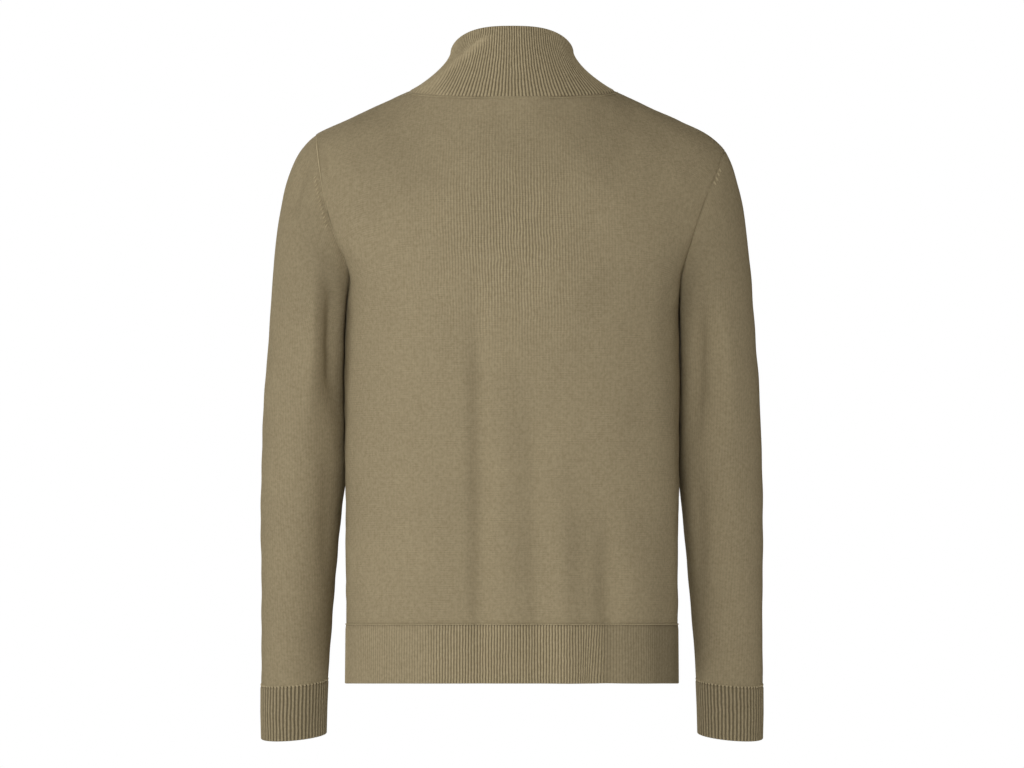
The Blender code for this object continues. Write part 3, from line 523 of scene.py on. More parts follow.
def scatter(name: str, shape: Pod, places: Array, frames: Array, material: Material) -> Piece:
    """One object of many like pods: each lies at place + x * frame[0] + y * frame[1] +
    z * frame[2].

    Args:
        name: of the piece.
        shape: the pod's points and faces.
        places: the pods' middles, n x 3.
        frames: their half axes, n x 3 x 3.
        material: of them all.

    Returns:
        The object.
    """
    points, faces = shape
    spots = places[:, None] + np.einsum("pk,nkd->npd", points, frames)
    first = (np.arange(len(places)) * len(points))[:, None, None]
    many = [(first + face[None]).reshape(-1, face.shape[1]) for face in faces]
    sizes = np.linalg.norm(frames, axis=2)
    uv = (points[None, :, [0, 2]] * sizes[:, None, [0, 2]]).reshape(-1, 2)
    return make_object(name, spots.reshape(-1, 3), many, uv, {}, material)


# ---- shader maths and finishes ----


class Wire:
    """A number on a material's board, on which Python's operators add Math nodes."""

    def __init__(self, board: "Board", socket: Socket) -> None:
        """Keep the board and the socket."""
        self.board, self.socket = board, socket

    def __add__(self, other: "Wire | float") -> "Wire":
        """self + other."""
        return self.board.math("ADD", self, other)

    __radd__ = __add__

    def __sub__(self, other: "Wire | float") -> "Wire":
        """self - other."""
        return self.board.math("SUBTRACT", self, other)

    def __rsub__(self, other: float) -> "Wire":
        """other - self."""
        return self.board.math("SUBTRACT", other, self)

    def __mul__(self, other: "Wire | float") -> "Wire":
        """self * other."""
        return self.board.math("MULTIPLY", self, other)

    __rmul__ = __mul__

    def __truediv__(self, other: "Wire | float") -> "Wire":
        """self / other."""
        return self.board.math("DIVIDE", self, other)

    def __rtruediv__(self, other: float) -> "Wire":
        """other / self."""
        return self.board.math("DIVIDE", other, self)

    def __pow__(self, other: "Wire | float") -> "Wire":
        """self to the power other."""
        return self.board.math("POWER", self, other)

    def __abs__(self) -> "Wire":
        """The size of self."""
        return self.board.math("ABSOLUTE", self)

    def fraction(self) -> "Wire":
        """What self has over the whole number below it."""
        return self.board.math("FRACT", self)

    def cosine(self) -> "Wire":
        """The cosine of self, in radians."""
        return self.board.math("COSINE", self)

    def clipped(self) -> "Wire":
        """Self, held between 0 and 1."""
        return self.board.math("MINIMUM", self.floor_at(0.0), 1.0)

    def floor_at(self, other: float) -> "Wire":
        """The larger of self and other."""
        return self.board.math("MAXIMUM", self, other)


class Board:
    """The node tree of a material or a world, with its one shader, and the ways to add to it."""

    def __init__(self, name: str, world: bool = False) -> None:
        """Make the material or the world, and keep its tree and shader."""
        self.owner = (bpy.data.worlds if world else bpy.data.materials).new(name)
        self.owner.use_nodes = True
        self.tree = self.owner.node_tree
        self.shader = self.tree.nodes["Background" if world else "Principled BSDF"]

    def node(
        self, kind: str, settings: dict | None = None, inputs: dict | None = None
    ) -> bpy.types.Node:
        """Any node: its settings are made first, then its sockets are set or linked.

        Args:
            kind: the node's type, such as "ShaderNodeMath".
            settings: attributes of the node, by name.
            inputs: values, wires or sockets for its input sockets, by name or number.

        Returns:
            The node.
        """
        made = self.tree.nodes.new(kind)
        for word, value in (settings or {}).items():
            setattr(made, word, value)
        for word, value in (inputs or {}).items():
            self.feed(made.inputs[word], value)
        return made

    def feed(self, socket: Socket, value: Any) -> None:
        """Link a wire or socket to an input socket, or set its value."""
        if isinstance(value, Wire):
            value = value.socket
        if isinstance(value, Socket):
            self.tree.links.new(value, socket)
        else:
            socket.default_value = value

    def math(self, operation: str, *terms: "Wire | float") -> Wire:
        """One Math node."""
        made = self.node("ShaderNodeMath", {"operation": operation}, dict(enumerate(terms)))
        return Wire(self, made.outputs[0])

    def noise(self, scale: float, detail: float = 2.0, stretch: Triple = (1, 1, 1)) -> Wire:
        """Noise over Object coordinates, about 0 to 1 with a mean of one half."""
        place = self.node("ShaderNodeTexCoord").outputs["Object"]
        times = {"operation": "MULTIPLY"}
        place = self.node("ShaderNodeVectorMath", times, {0: place, 1: stretch})
        inputs = {"Vector": place.outputs[0], "Scale": scale, "Detail": detail}
        return Wire(self, self.node("ShaderNodeTexNoise", {}, inputs).outputs[0])

    def cloth_map(self) -> tuple[Wire, Wire]:
        """The piece's own UV map: metres across the wales and along them."""
        uv = self.node("ShaderNodeUVMap", {"uv_map": "cloth"}).outputs[0]
        parts = self.node("ShaderNodeSeparateXYZ", {}, {0: uv})
        return Wire(self, parts.outputs[0]), Wire(self, parts.outputs[1])

    def value_of(self, word: str) -> Wire:
        """A point attribute of the piece."""
        made = self.node("ShaderNodeAttribute", {"attribute_name": word})
        return Wire(self, made.outputs["Fac"])

    def blend(self, amount: Any, first: Colour, second: Colour) -> Socket:
        """A colour between two others, by a wire, a socket or a number."""
        made = self.node("ShaderNodeMix", {"data_type": "RGBA"}, {"Factor": amount})
        self.feed(made.inputs[6], (*first, 1.0))
        self.feed(made.inputs[7], (*second, 1.0))
        return made.outputs[2]

    def scaled(self, colour: Socket, amount: Wire) -> Socket:
        """A colour times a number, by Vector Math."""
        inputs = {0: colour, "Scale": amount}
        return self.node("ShaderNodeVectorMath", {"operation": "SCALE"}, inputs).outputs[0]

    def bump(self, height: Wire, strength: float = 1.0) -> Socket:
        """A normal bent by a height in metres."""
        inputs = {"Height": height, "Distance": 1.0, "Strength": strength}
        return self.node("ShaderNodeBump", {}, inputs).outputs[0]

    def finish(self, **sockets: Any) -> Material | bpy.types.World:
        """Set or link the shader's own sockets, whose names have _ for each space."""
        for word, value in sockets.items():
            self.feed(self.shader.inputs[word.replace("_", " ")], value)
        return self.owner


@dataclass(frozen=True)
class KnitFinish:
    """Plain knit: columns of V stitches in a soft heathered yarn.

    A stitch has two legs that lean apart as they rise. At a share f across its wale, each leg's
    roundness is 1 - |4 |f - 1/2| - 1|, and its loops follow the cosine of the share along. Every
    second wale stands a little higher, by as much as the piece's own value "show". Heather,
    cloud, fuzz and bend are noises: a scale, a strength, and the relief that they add. Patches,
    where the wales and the cross streaks show, are a scale, a contrast and an offset.
    """

    name: str
    colour: Colour
    dark: Colour
    wale: float = 0.00164
    course: float = 0.00125
    relief: float = 0.00040
    lean: float = 1.1
    leg_power: float = 0.6
    loop_share: float = 0.55
    shade: float = 0.34
    heather: Triple = (300.0, 2.6, 0.0004)
    cloud: Pair = (11.0, 0.14)
    fuzz: Triple = (1300.0, 0.16, 0.00012)
    pairs: float = 0.28
    pair_relief: float = 0.00028
    pair_patches: Triple = (45.0, 2.6, -0.3)
    bend: Pair = (38.0, 7.0)
    streaks: float = 0.05
    streak_patches: Triple = (60.0, 4.0, -1.7)
    streak_bend: float = 0.4
    roughness: float = 0.92
    specular: float = 0.02
    valley_dark: float = 0.0
    valley_power: float = 1.3

    def stitches(self, board: Board, across: Wire, along: Wire) -> Wire:
        """The height of the stitches, 0 to 1."""
        centre = abs((across / self.wale).fraction() - 0.5)
        leg = 1.0 - abs(centre * 4.0 - 1.0)
        loop = ((along / self.course + centre * self.lean) * (2 * math.pi)).cosine() * 0.5 + 0.5
        return leg.floor_at(0.0) ** self.leg_power * (
            loop * self.loop_share + (1.0 - self.loop_share)
        )

    def patches(self, board: Board, noise: Triple) -> Wire:
        """Soft patches, 0 to 1: a noise of some scale, times a contrast, plus an offset."""
        return (board.noise(noise[0]) * noise[1] + noise[2]).clipped()

    def material(self) -> Material:
        """Yarn colour with heather and grain, with painted shade between the stitches, bumped by
        them.
        """
        board = Board(self.name)
        across, along = board.cloth_map()
        height = self.stitches(board, across, along)
        heather = board.noise(self.heather[0], 3.0) - 0.5
        cloud = board.noise(self.cloud[0], 3.0) - 0.5
        fuzz = board.noise(self.fuzz[0], 1.0) - 0.5
        tone = board.blend(heather * self.heather[1] + 0.5, self.dark, self.colour)
        # painted shade: the colour darkens between the stitches and lightens on their crests
        light = (1.0 - self.shade) + height * self.shade
        light = light + cloud * self.cloud[1] + fuzz * self.fuzz[1]
        relief = height * self.relief + fuzz * self.fuzz[2] + heather * self.heather[2]
        if self.pairs:
            show = board.value_of("show") * self.patches(board, self.pair_patches)
            bend = (board.noise(self.bend[0]) - 0.5) * self.bend[1]
            pair = (across * (math.pi / self.wale) + bend).cosine() * show
            patch = self.patches(board, self.streak_patches)
            streak = (along * (math.pi / self.course) + bend * self.streak_bend).cosine() * patch
            light = light + pair * self.pairs + streak * self.streaks
            relief = relief + pair * self.pair_relief
        # painted shade in the rib valleys, by the piece's own valley value
        if self.valley_dark:
            valley = board.value_of("valley") ** self.valley_power
            light = light * (1.0 - valley * self.valley_dark)
        return board.finish(
            Base_Color=board.scaled(tone, light),
            Roughness=self.roughness,
            Normal=board.bump(relief),
            Specular_IOR_Level=self.specular,
        )


@dataclass(frozen=True)
class WovenFinish:
    """Woven zip tape: a fine herringbone of warp and weft."""

    name: str
    colour: Colour
    dark: Colour
    thread: float = 0.0005
    column_threads: float = 8.0
    twill_share: float = 0.7
    twill_relief: float = 0.00012
    grain_scale: float = 2200.0
    grain_relief: float = 0.00004
    roughness: float = 0.8

    def material(self) -> Material:
        """Twill ribs that turn at each herringbone column."""
        board = Board(self.name)
        across, along = board.cloth_map()
        threads = self.column_threads
        column = abs((across / (self.thread * threads)).fraction() - 0.5) * threads
        twill = ((along / self.thread + column) * (2 * math.pi)).cosine() * 0.5 + 0.5
        grain = board.noise(self.grain_scale, 1.0)
        tone = twill * self.twill_share + grain * (1.0 - self.twill_share)
        return board.finish(
            Base_Color=board.blend(tone, self.dark, self.colour),
            Roughness=self.roughness,
            Normal=board.bump(twill * self.twill_relief + grain * self.grain_relief),
        )


@dataclass(frozen=True)
class MetalFinish:
    """Aged zip metal, with cloudy tarnish and fine scratches."""

    name: str
    colour: Colour
    dark: Colour
    roughness: float = 0.34
    tarnish_scale: float = 420.0
    tarnish_rough: float = 0.18
    scratch_scale: float = 900.0
    scratch_stretch: Triple = (1.0, 1.0, 0.12)
    scratch_rough: float = 0.10
    scratch_relief: float = 0.00002

    def material(self) -> Material:
        """Cloudy tarnish and fine scratches."""
        board = Board(self.name)
        tarnish = board.noise(self.tarnish_scale, 3.0)
        scratch = board.noise(self.scratch_scale, 2.0, self.scratch_stretch)
        rough = tarnish * self.tarnish_rough + scratch * self.scratch_rough + self.roughness
        return board.finish(
            Base_Color=board.blend(tarnish, self.dark, self.colour),
            Metallic=1.0,
            Roughness=rough,
            Normal=board.bump(scratch * self.scratch_relief),
        )


@dataclass(frozen=True)
class PlainFinish:
    """A flat pale finish for the studio floor."""

    name: str
    colour: Colour
    scale: float = 3.0
    shade: float = 0.97
    roughness: float = 0.85

    def material(self) -> Material:
        """Matt, with a faint unevenness."""
        board = Board(self.name)
        dark = tuple(part * self.shade for part in self.colour)
        tone = board.blend(board.noise(self.scale), dark, self.colour)
        return board.finish(Base_Color=tone, Roughness=self.roughness)


@dataclass(frozen=True)
class Finishes:
    """The finishes of all the pieces."""

    yarn: Colour = (0.430, 0.357, 0.226)
    yarn_dark: Colour = (0.350, 0.287, 0.175)
    # lighter than the knit yarn: painted highlight of the raised linking stitches catching the
    # light
    link_yarn: Colour = (0.472, 0.394, 0.249)
    knit: Material = field(init=False)
    rib: Material = field(init=False)
    linking: Material = field(init=False)
    tape: Material = field(init=False)
    metal: Material = field(init=False)

    def __post_init__(self) -> None:
        """Make each material once."""
        light, dark = self.yarn, self.yarn_dark
        made = {
            "knit": KnitFinish("plain_knit", light, dark),
            # the rib finish paints shade into its rib valleys (valley_dark)
            "rib": KnitFinish(
                "rib_knit", light, dark, wale=0.0032, relief=0.0002, shade=0.15, pairs=0.0,
                valley_dark=0.62,
            ),
            "linking": KnitFinish("linking_yarn", self.link_yarn, light, shade=0.1, pairs=0.0),
            "tape": WovenFinish("zip_tape_cloth", (0.21, 0.175, 0.11), (0.13, 0.105, 0.065)),
            "metal": MetalFinish("zip_metal", (0.25, 0.235, 0.205), (0.14, 0.13, 0.112)),
        }
        for word, finish in made.items():
            object.__setattr__(self, word, finish.material())


LINK_PITCH, LINK_POINTS, LINK_FLAT = 0.0019, 4, 0.8


def linked(run: Array, swell: float) -> Array:
    """1 in the middle of each linking stitch and 1 - 2 * swell between two, as a cosine."""
    return (1.0 - swell) + swell * np.cos(run / LINK_PITCH * 2 * math.pi)


def dressed(piece: Piece, body: str = GARMENT) -> Piece:
    """The piece, riding on a body."""
    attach(piece, body)
    return piece


def link_chain(
    name: str, line: Array, normals: Array, radius: float, finishes: Finishes, swell: float = 0.30
) -> Piece:
    """A chain of linking stitches: a cord that swells and thins by a cosine of the distance
    along it, one wave to a stitch.

    Args:
        name: of the piece.
        line: points along the cloth.
        normals: the cloth's normals there.
        radius: the cord's largest radius.
        finishes: for the linking yarn.
        swell: how far it swells and thins, as a share.

    Returns:
        The piece.
    """
    length = distances(line)[-1]
    count = int(length / LINK_PITCH) * LINK_POINTS + 1
    even = spread(np.concatenate([line, normals], axis=1), count)
    radii = radius * linked(np.linspace(0.0, length, count), swell)
    points, out = even[:, :3], unit(even[:, 3:])
    return dressed(tube_along(name, points, out, radii, LINK_FLAT, finishes.linking))


# ---- the torso ----


class Section(NamedTuple):
    """Half a level section of the body. The arc is how many degrees it turns from its middle."""

    name: str
    x_left: float
    x_right: float
    y_side: float
    z_side: float
    y_middle: float
    z_middle: float
    arc: float


class Neck(NamedTuple):
    """Where a half ends at the neck, and how its columns head there at the middle."""

    y: float
    z: float
    drop_power: float
    lean: float
    rise: float


class Shoulder(NamedTuple):
    """The sleeve seam's shoulder end, and how the sleeve leaves it."""

    x: float
    outward: float
    downward: float
    pull: float


class Fold(NamedTuple):
    """A soft fold seen from behind: a ridge has a height over 0 and a trough one under 0."""

    name: str
    x_top: float
    z_top: float
    x_bottom: float
    z_bottom: float
    half_width: float
    height: float


KNIT_WALL, KNIT_STEPS, KNIT_SHARP = 0.0022, (3, 3), 50
RIB_WALL = 0.0027
RIB_RELIEF = 0.0009
SEAM_GAP = 0.0003
SQUARENESS = 0.85
SQUARER, SQUARER_ARC = 0.12, (68.0, 90.0)
ZIP_HALF = 0.005
FOLD_FADE = 0.35
SHOULDERS = {
    Side.LEFT: Shoulder(0.219, 1.15, 0.72, 0.70),
    Side.RIGHT: Shoulder(0.238, 0.60, 1.00, 0.67),
}
BACK_FOLDS = (
    Fold("left trough", 0.038, -0.170, 0.034, -0.720, 0.011, -0.0066),
    Fold("middle ridge", 0.010, -0.290, 0.004, -0.660, 0.014, 0.0025),
    Fold("middle trough", -0.020, -0.300, -0.030, -0.700, 0.010, -0.0025),
    Fold("right ridge", -0.050, -0.400, -0.066, -0.760, 0.016, 0.0052),
    Fold("right trough", -0.104, -0.440, -0.109, -0.790, 0.012, -0.0056),
    Fold("outer ridge", -0.146, -0.460, -0.148, -0.790, 0.018, 0.0020),
    Fold("left ridge", 0.085, -0.360, 0.092, -0.720, 0.022, 0.0020),
    Fold("left shoulder dip", 0.2091, -0.054, 0.2020, -0.114, 0.006, -0.0030),
    Fold("right hem corner", -0.168, -0.480, -0.168, -0.900, 0.012, -0.0018),
)


def half_row(section: Section, side: Side, share: Array, x_middle: float) -> Array:
    """A section's points from its middle (share 0) to its side end (share 1).

    With a the share of the arc, x grows as sin(a)^q and the depth falls as cos(a)^q, which is an
    ellipse drawn a little square. The power q is SQUARENESS, and less under the right armhole
    behind, where the back hangs flatter.
    """
    low, high = SQUARER_ARC
    flatter = (section.arc - low) / (high - low) if side is Side.RIGHT else 0.0
    square = SQUARENESS - SQUARER * flatter * float(section.y_middle > 0)
    x_side = section.x_left if side is Side.LEFT else section.x_right
    end = math.radians(section.arc)
    turn = share * end
    across = (np.sin(turn) / math.sin(end)) ** square
    last = max(math.cos(end), 0.0) ** square if section.arc < 90 else 0.0
    depth = (np.clip(np.cos(turn), 0.0, 1.0) ** square - last) / (1.0 - last)
    x = x_middle + (x_side - x_middle) * across
    y = section.y_side + (section.y_middle - section.y_side) * depth
    z = section.z_side + (section.z_middle - section.z_side) * depth
    return np.stack([side.value * x, y, z], axis=1)


def fold_heights(points: Array, folds: tuple[Fold, ...], run: float = FOLD_FADE) -> Array:
    """How far folds move points of the back: a bell across each fold, faded at both its ends."""
    heights = np.zeros(points.shape[:-1])
    for fold in folds:
        share = (points[..., 2] - fold.z_top) / (fold.z_bottom - fold.z_top)
        line = fold.x_top + (fold.x_bottom - fold.x_top) * share
        heights += fold.height * bell(points[..., 0] - line, fold.half_width) * faded(share, run)
    return heights


@dataclass
class Torso:
    """The back and the two fronts: plain knit panels from the hem seam to the neck."""

    back_sections: tuple[Section, ...] = (
        Section("hem seam", 0.1856, 0.1856, 0.0, -0.5966, 0.118, -0.5916, 90),
        Section("waist", 0.1865, 0.1865, 0.0, -0.4700, 0.109, -0.4680, 90),
        Section("chest", 0.1870, 0.1870, 0.0, -0.3400, 0.120, -0.3420, 90),
        Section("underarm", 0.1870, 0.1870, 0.0, -0.2430, 0.128, -0.2550, 90),
        Section("low armhole", 0.1818, 0.1883, 0.052, -0.2060, 0.130, -0.2040, 84),
        Section("shoulder blade", 0.2014, 0.2055, 0.067, -0.1500, 0.122, -0.1300, 68),
    )
    front_sections: tuple[Section, ...] = (
        Section("hem seam", 0.1856, 0.1856, 0.0, -0.5966, -0.128, -0.5996, 90),
        Section("waist", 0.1865, 0.1865, 0.0, -0.4700, -0.124, -0.4720, 90),
        Section("chest", 0.1870, 0.1870, 0.0, -0.3400, -0.130, -0.3450, 90),
        Section("underarm", 0.1870, 0.1870, 0.0, -0.2430, -0.130, -0.2620, 90),
        Section("low armhole", 0.1815, 0.1840, -0.047, -0.2070, -0.127, -0.2250, 84),
        Section("upper chest", 0.1940, 0.1980, -0.062, -0.1480, -0.117, -0.1550, 66),
    )
    neck_back: Neck = Neck(0.080, -0.010, 1.0, -0.35, 0.94)
    neck_front: Neck = Neck(-0.096, -0.072, 1.3, 0.35, 0.94)
    neck_half: float = 0.115
    neck_share: float = 0.5
    neck_climb: float = 0.90
    neck_over: float = 0.45
    over_power: int = 6
    shoulder_slope: float = 0.462
    shoulder_run: float = 0.104
    shoulder_round: float = 0.0012
    shoulder_turn: int = 12
    underarm: int = 3
    underarm_from: float = 0.75
    columns: int = 120
    rows: tuple[int, ...] = (36, 36, 36, 24, 36, 60)
    groove: float = 0.0002
    groove_width: float = 0.0016
    uneven: float = 0.0006
    uneven_run: float = 0.03
    lines_z: float = -0.16
    lines_half: float = 0.075
    lines_up: float = 0.09
    lines_down: float = 0.10
    lines_least: float = 0.05
    lines_front: float = 0.15
    blends: int = 40
    seeds: tuple[int, int] = (11, 23)
    blend_gap: float = 0.002
    blend_run: float = 0.025
    blend_side: float = 0.02
    back: tuple[Array, Array] = field(init=False)
    fronts: dict[Side, tuple[Array, Array]] = field(init=False)

    def __post_init__(self) -> None:
        """Work out the panels' outer grids and normals, which share their seams."""
        self.back = self.back_surface()
        self.fronts = {side: self.front_surface(side) for side in Side}

    @property
    def open_row(self) -> int:
        """The row over which the armhole opens."""
        return sum(self.rows[: self.underarm])

    def neck_part(self, share: Array) -> tuple[Array, Array]:
        """How far round the neck a share lies, 0 to 1, and how far along the shoulder seam."""
        shoulder = (share - self.neck_share) / (1.0 - self.neck_share)
        return np.clip(share / self.neck_share, 0.0, 1.0), np.clip(shoulder, 0.0, 1.0)

    def top_row(self, neck: Neck, side: Side, share: Array, x_middle: float) -> Array:
        """A panel's upper edge: a quarter of the neck's curve, then the shoulder seam."""
        turn, run = self.neck_part(share)
        turn, run = turn * math.pi / 2, run * (SHOULDERS[side].x - self.neck_half)
        x = x_middle + (self.neck_half - x_middle) * np.sin(turn) + run
        y = neck.y * np.cos(turn)
        z = neck.z * np.cos(turn) ** neck.drop_power - self.shoulder_slope * run
        z = z - self.shoulder_round * (run / self.shoulder_run) ** self.shoulder_turn
        return np.stack([side.value * x, y, z], axis=1)

    def neck_way(self, neck: Neck, side: Side, share: Array) -> Array:
        """How the cloth crosses the neck seam: up at the middle, inwards at the neck point."""
        turn = self.neck_part(share)[0] * math.pi / 2
        inward, upright = np.sin(turn), np.cos(turn)
        z = self.shoulder_slope * self.neck_climb * inward + neck.rise * upright
        return np.stack([-side.value * self.neck_climb * inward, neck.lean * upright, z], axis=1)

    def top_way(self, neck: Neck, side: Side, share: Array) -> Array:
        """How a panel's columns head at its upper edge: over the neck or the shoulder seam."""
        near, out = self.neck_part(share)
        out = smooth_step(out)
        way = self.neck_way(neck, side, share) * (1.0 - out)[:, None]
        over = self.neck_over + (1.0 - self.neck_over) * out
        way[:, 1] -= math.copysign(1.0, neck.y) * near**self.over_power * over
        return way

    def half_panel(
        self, sections: tuple[Section, ...], neck: Neck, side: Side, x_middle: float
    ) -> Array:
        """The outer surface of half the back, or of one front, as rows from the hem seam up."""
        half = self.columns // 2
        inner = np.linspace(0.0, self.neck_share, half + 1)
        outer = crowded(np.linspace(0.0, 1.0, half + 1))
        outer = outer * (1 - self.neck_share) + self.neck_share
        share = np.concatenate([inner, outer[1:]])
        rows = [half_row(section, side, share, x_middle) for section in sections]
        rows.append(self.top_row(neck, side, share, x_middle))
        edge = smooth_step((share - self.underarm_from) / (1.0 - self.underarm_from))[:, None]
        turn = (self.underarm, edge, np.array([0.0, math.copysign(1.0, neck.y), 0.0]))
        way = self.top_way(neck, side, share)
        return loft(np.stack(rows), span_shares(self.rows), end=way, side_turn=turn)

    def eased(self, grid: Array) -> Array:
        """The panel with its columns blended sideways, away from its edges, so that the neck
        point leaves no line down the cloth: each blend mixes a point by quarters with the next
        ones in its row."""
        soft = grid
        for _ in range(self.blends):
            padded = np.pad(soft, ((0, 0), (1, 1), (0, 0)), mode="edge")
            soft = (padded[:, :-2] + 2 * soft + padded[:, 2:]) / 4
        down, across = run_down(grid), run_across(grid, 0)
        share = smooth_step((down[-1:] - down - self.blend_gap) / self.blend_run)
        share = share * smooth_step(across / self.blend_side)
        share = share * smooth_step((across[:, -1:] - across) / self.blend_side)
        return grid + (soft - grid) * share[..., None]

    def back_surface(self) -> tuple[Array, Array]:
        """Outer grid and normals of the back, from the wearer's left side to the right."""
        left = self.half_panel(self.back_sections, self.neck_back, Side.LEFT, 0.0)[:, ::-1]
        right = self.half_panel(self.back_sections, self.neck_back, Side.RIGHT, 0.0)[:, 1:]
        grid = self.eased(np.concatenate([left, right], axis=1))
        normals = body_normals(grid)
        grid = grid + level(normals) * fold_heights(grid, BACK_FOLDS)[..., None]
        return grid, body_normals(grid)

    def front_surface(self, side: Side) -> tuple[Array, Array]:
        """Outer grid and normals of one front, from the zip to the side."""
        grid = self.eased(self.half_panel(self.front_sections, self.neck_front, side, ZIP_HALF))
        return grid, body_normals(grid)

    def neck_seam(self, row: int = -1) -> Array:
        """The neck seam, or a row of the cloth below it, from the left front edge round the back
        to the right: points, the ways in which the cloth crosses it, and normals, as nine
        numbers each."""
        share = np.linspace(0.0, self.neck_share, self.columns // 2 + 1)
        reach, middle = len(share), self.columns
        back = self.back[0][row]
        back_left = back[middle - reach + 1 : middle + 1]
        back_right = back[middle : middle + reach]
        left, right = (self.fronts[side][0][row, :reach] for side in Side)
        quarters = (
            (left, self.neck_way(self.neck_front, Side.LEFT, share)),
            (back_left, self.neck_way(self.neck_back, Side.LEFT, share)[::-1]),
            (back_right, self.neck_way(self.neck_back, Side.RIGHT, share)),
            (right[::-1], self.neck_way(self.neck_front, Side.RIGHT, share)[::-1]),
        )
        joined = [np.concatenate(quarter, axis=1) for quarter in quarters]
        line = np.concatenate([joined[0], *(quarter[1:] for quarter in joined[1:])])
        points, ways = line[:, :3], unit(line[:, 3:])
        normals = unit(np.cross(np.gradient(points, axis=0), ways))
        if (normals * from_axis(points)).sum() < 0:
            normals = -normals
        return np.concatenate([points, ways, normals], axis=1)

    def armhole(self, side: Side) -> tuple[Array, Array]:
        """Points and normals of the armhole, from the underarm up the back and down the front."""
        edge = 0 if side is Side.LEFT else -1
        loops = []
        for back, front in zip(self.back, self.fronts[side]):
            up, down = back[self.open_row :, edge], front[self.open_row :, -1][::-1]
            loops.append(np.concatenate([up, down[1:-1]]))
        return loops[0], loops[1]

    def relieved(self, grid: Array, normals: Array, seams: tuple[str, ...], seed: int) -> Array:
        """The panel's outer face: uneven as knit is, and drawn in at its seams.

        Near a seam the face dips by groove * exp(-(distance / groove_width)^2).

        Args:
            grid: the outer surface.
            normals: its normals.
            seams: which of "top", "first" and "last" (columns) are seams, besides the hem.
            seed: for the unevenness.

        Returns:
            The moved grid.
        """
        down = run_down(grid)
        across = run_across(grid, 0)
        gaps = {
            "hem": down,
            "top": down[-1:] - down,
            "first": across,
            "last": across[:, -1:] - across,
        }
        height = unevenness(grid, self.uneven, seed) * smooth_step(down / self.uneven_run)
        for word in ("hem", *seams):
            height = height - self.groove * bell(gaps[word], self.groove_width)
        return grid + normals * height[..., None]

    def build(self, finishes: Finishes) -> list[Piece]:
        """The back and the fronts, as cloth that hangs from the shoulders."""
        grid, normals = self.back
        face = self.relieved(grid, normals, ("top", "first", "last"), self.seeds[0])
        uv = np.stack([run_across(grid, self.columns), run_down(grid)], axis=-1)
        high = np.where(grid[..., 2] > self.lines_z, self.lines_up, self.lines_down)
        show = bell(grid[..., 0], self.lines_half) * bell(grid[..., 2] - self.lines_z, high)
        show = {"show": self.lines_least + (1.0 - self.lines_least) * show}
        wall = ClothWall(face, grid - normals * KNIT_WALL, uv, show)
        pieces = [wall.build("back_cloth", finishes.knit, KNIT_STEPS, KNIT_SHARP)]
        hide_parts("back_panel")
        for side in Side:
            grid, normals = self.fronts[side]
            seed = self.seeds[1] + side.value
            face = self.relieved(grid, normals, ("top", "last"), seed)
            uv = np.stack([run_across(grid, 0) * side.value, run_down(grid)], axis=-1)
            show = {"show": np.full(grid.shape[:2], self.lines_front)}
            wall = ClothWall(face, grid - normals * KNIT_WALL, uv, show)
            name = f"front_cloth_{side.word}"
            piece = wall.build(name, finishes.knit, KNIT_STEPS, KNIT_SHARP)
            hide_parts(f"front_{side.word}")
            pieces.append(piece)
        return [dressed(piece) for piece in pieces]


# ---- ribs ----


RIB_POWER = 0.75


def rib_profile(columns: Array) -> Array:
    """Height of a rib, 0 in its valley and 1 on its crest: |sin(pi * share)|^RIB_POWER."""
    return np.abs(np.sin(math.pi * columns)) ** RIB_POWER


def rim_roll(gap: Array, radius: float) -> Array:
    """How far a face is drawn in near a rim, so that it ends in a quarter circle."""
    near = np.clip(radius - gap, 0.0, radius)
    return radius - np.sqrt(np.maximum(radius**2 - near**2, 0.0))


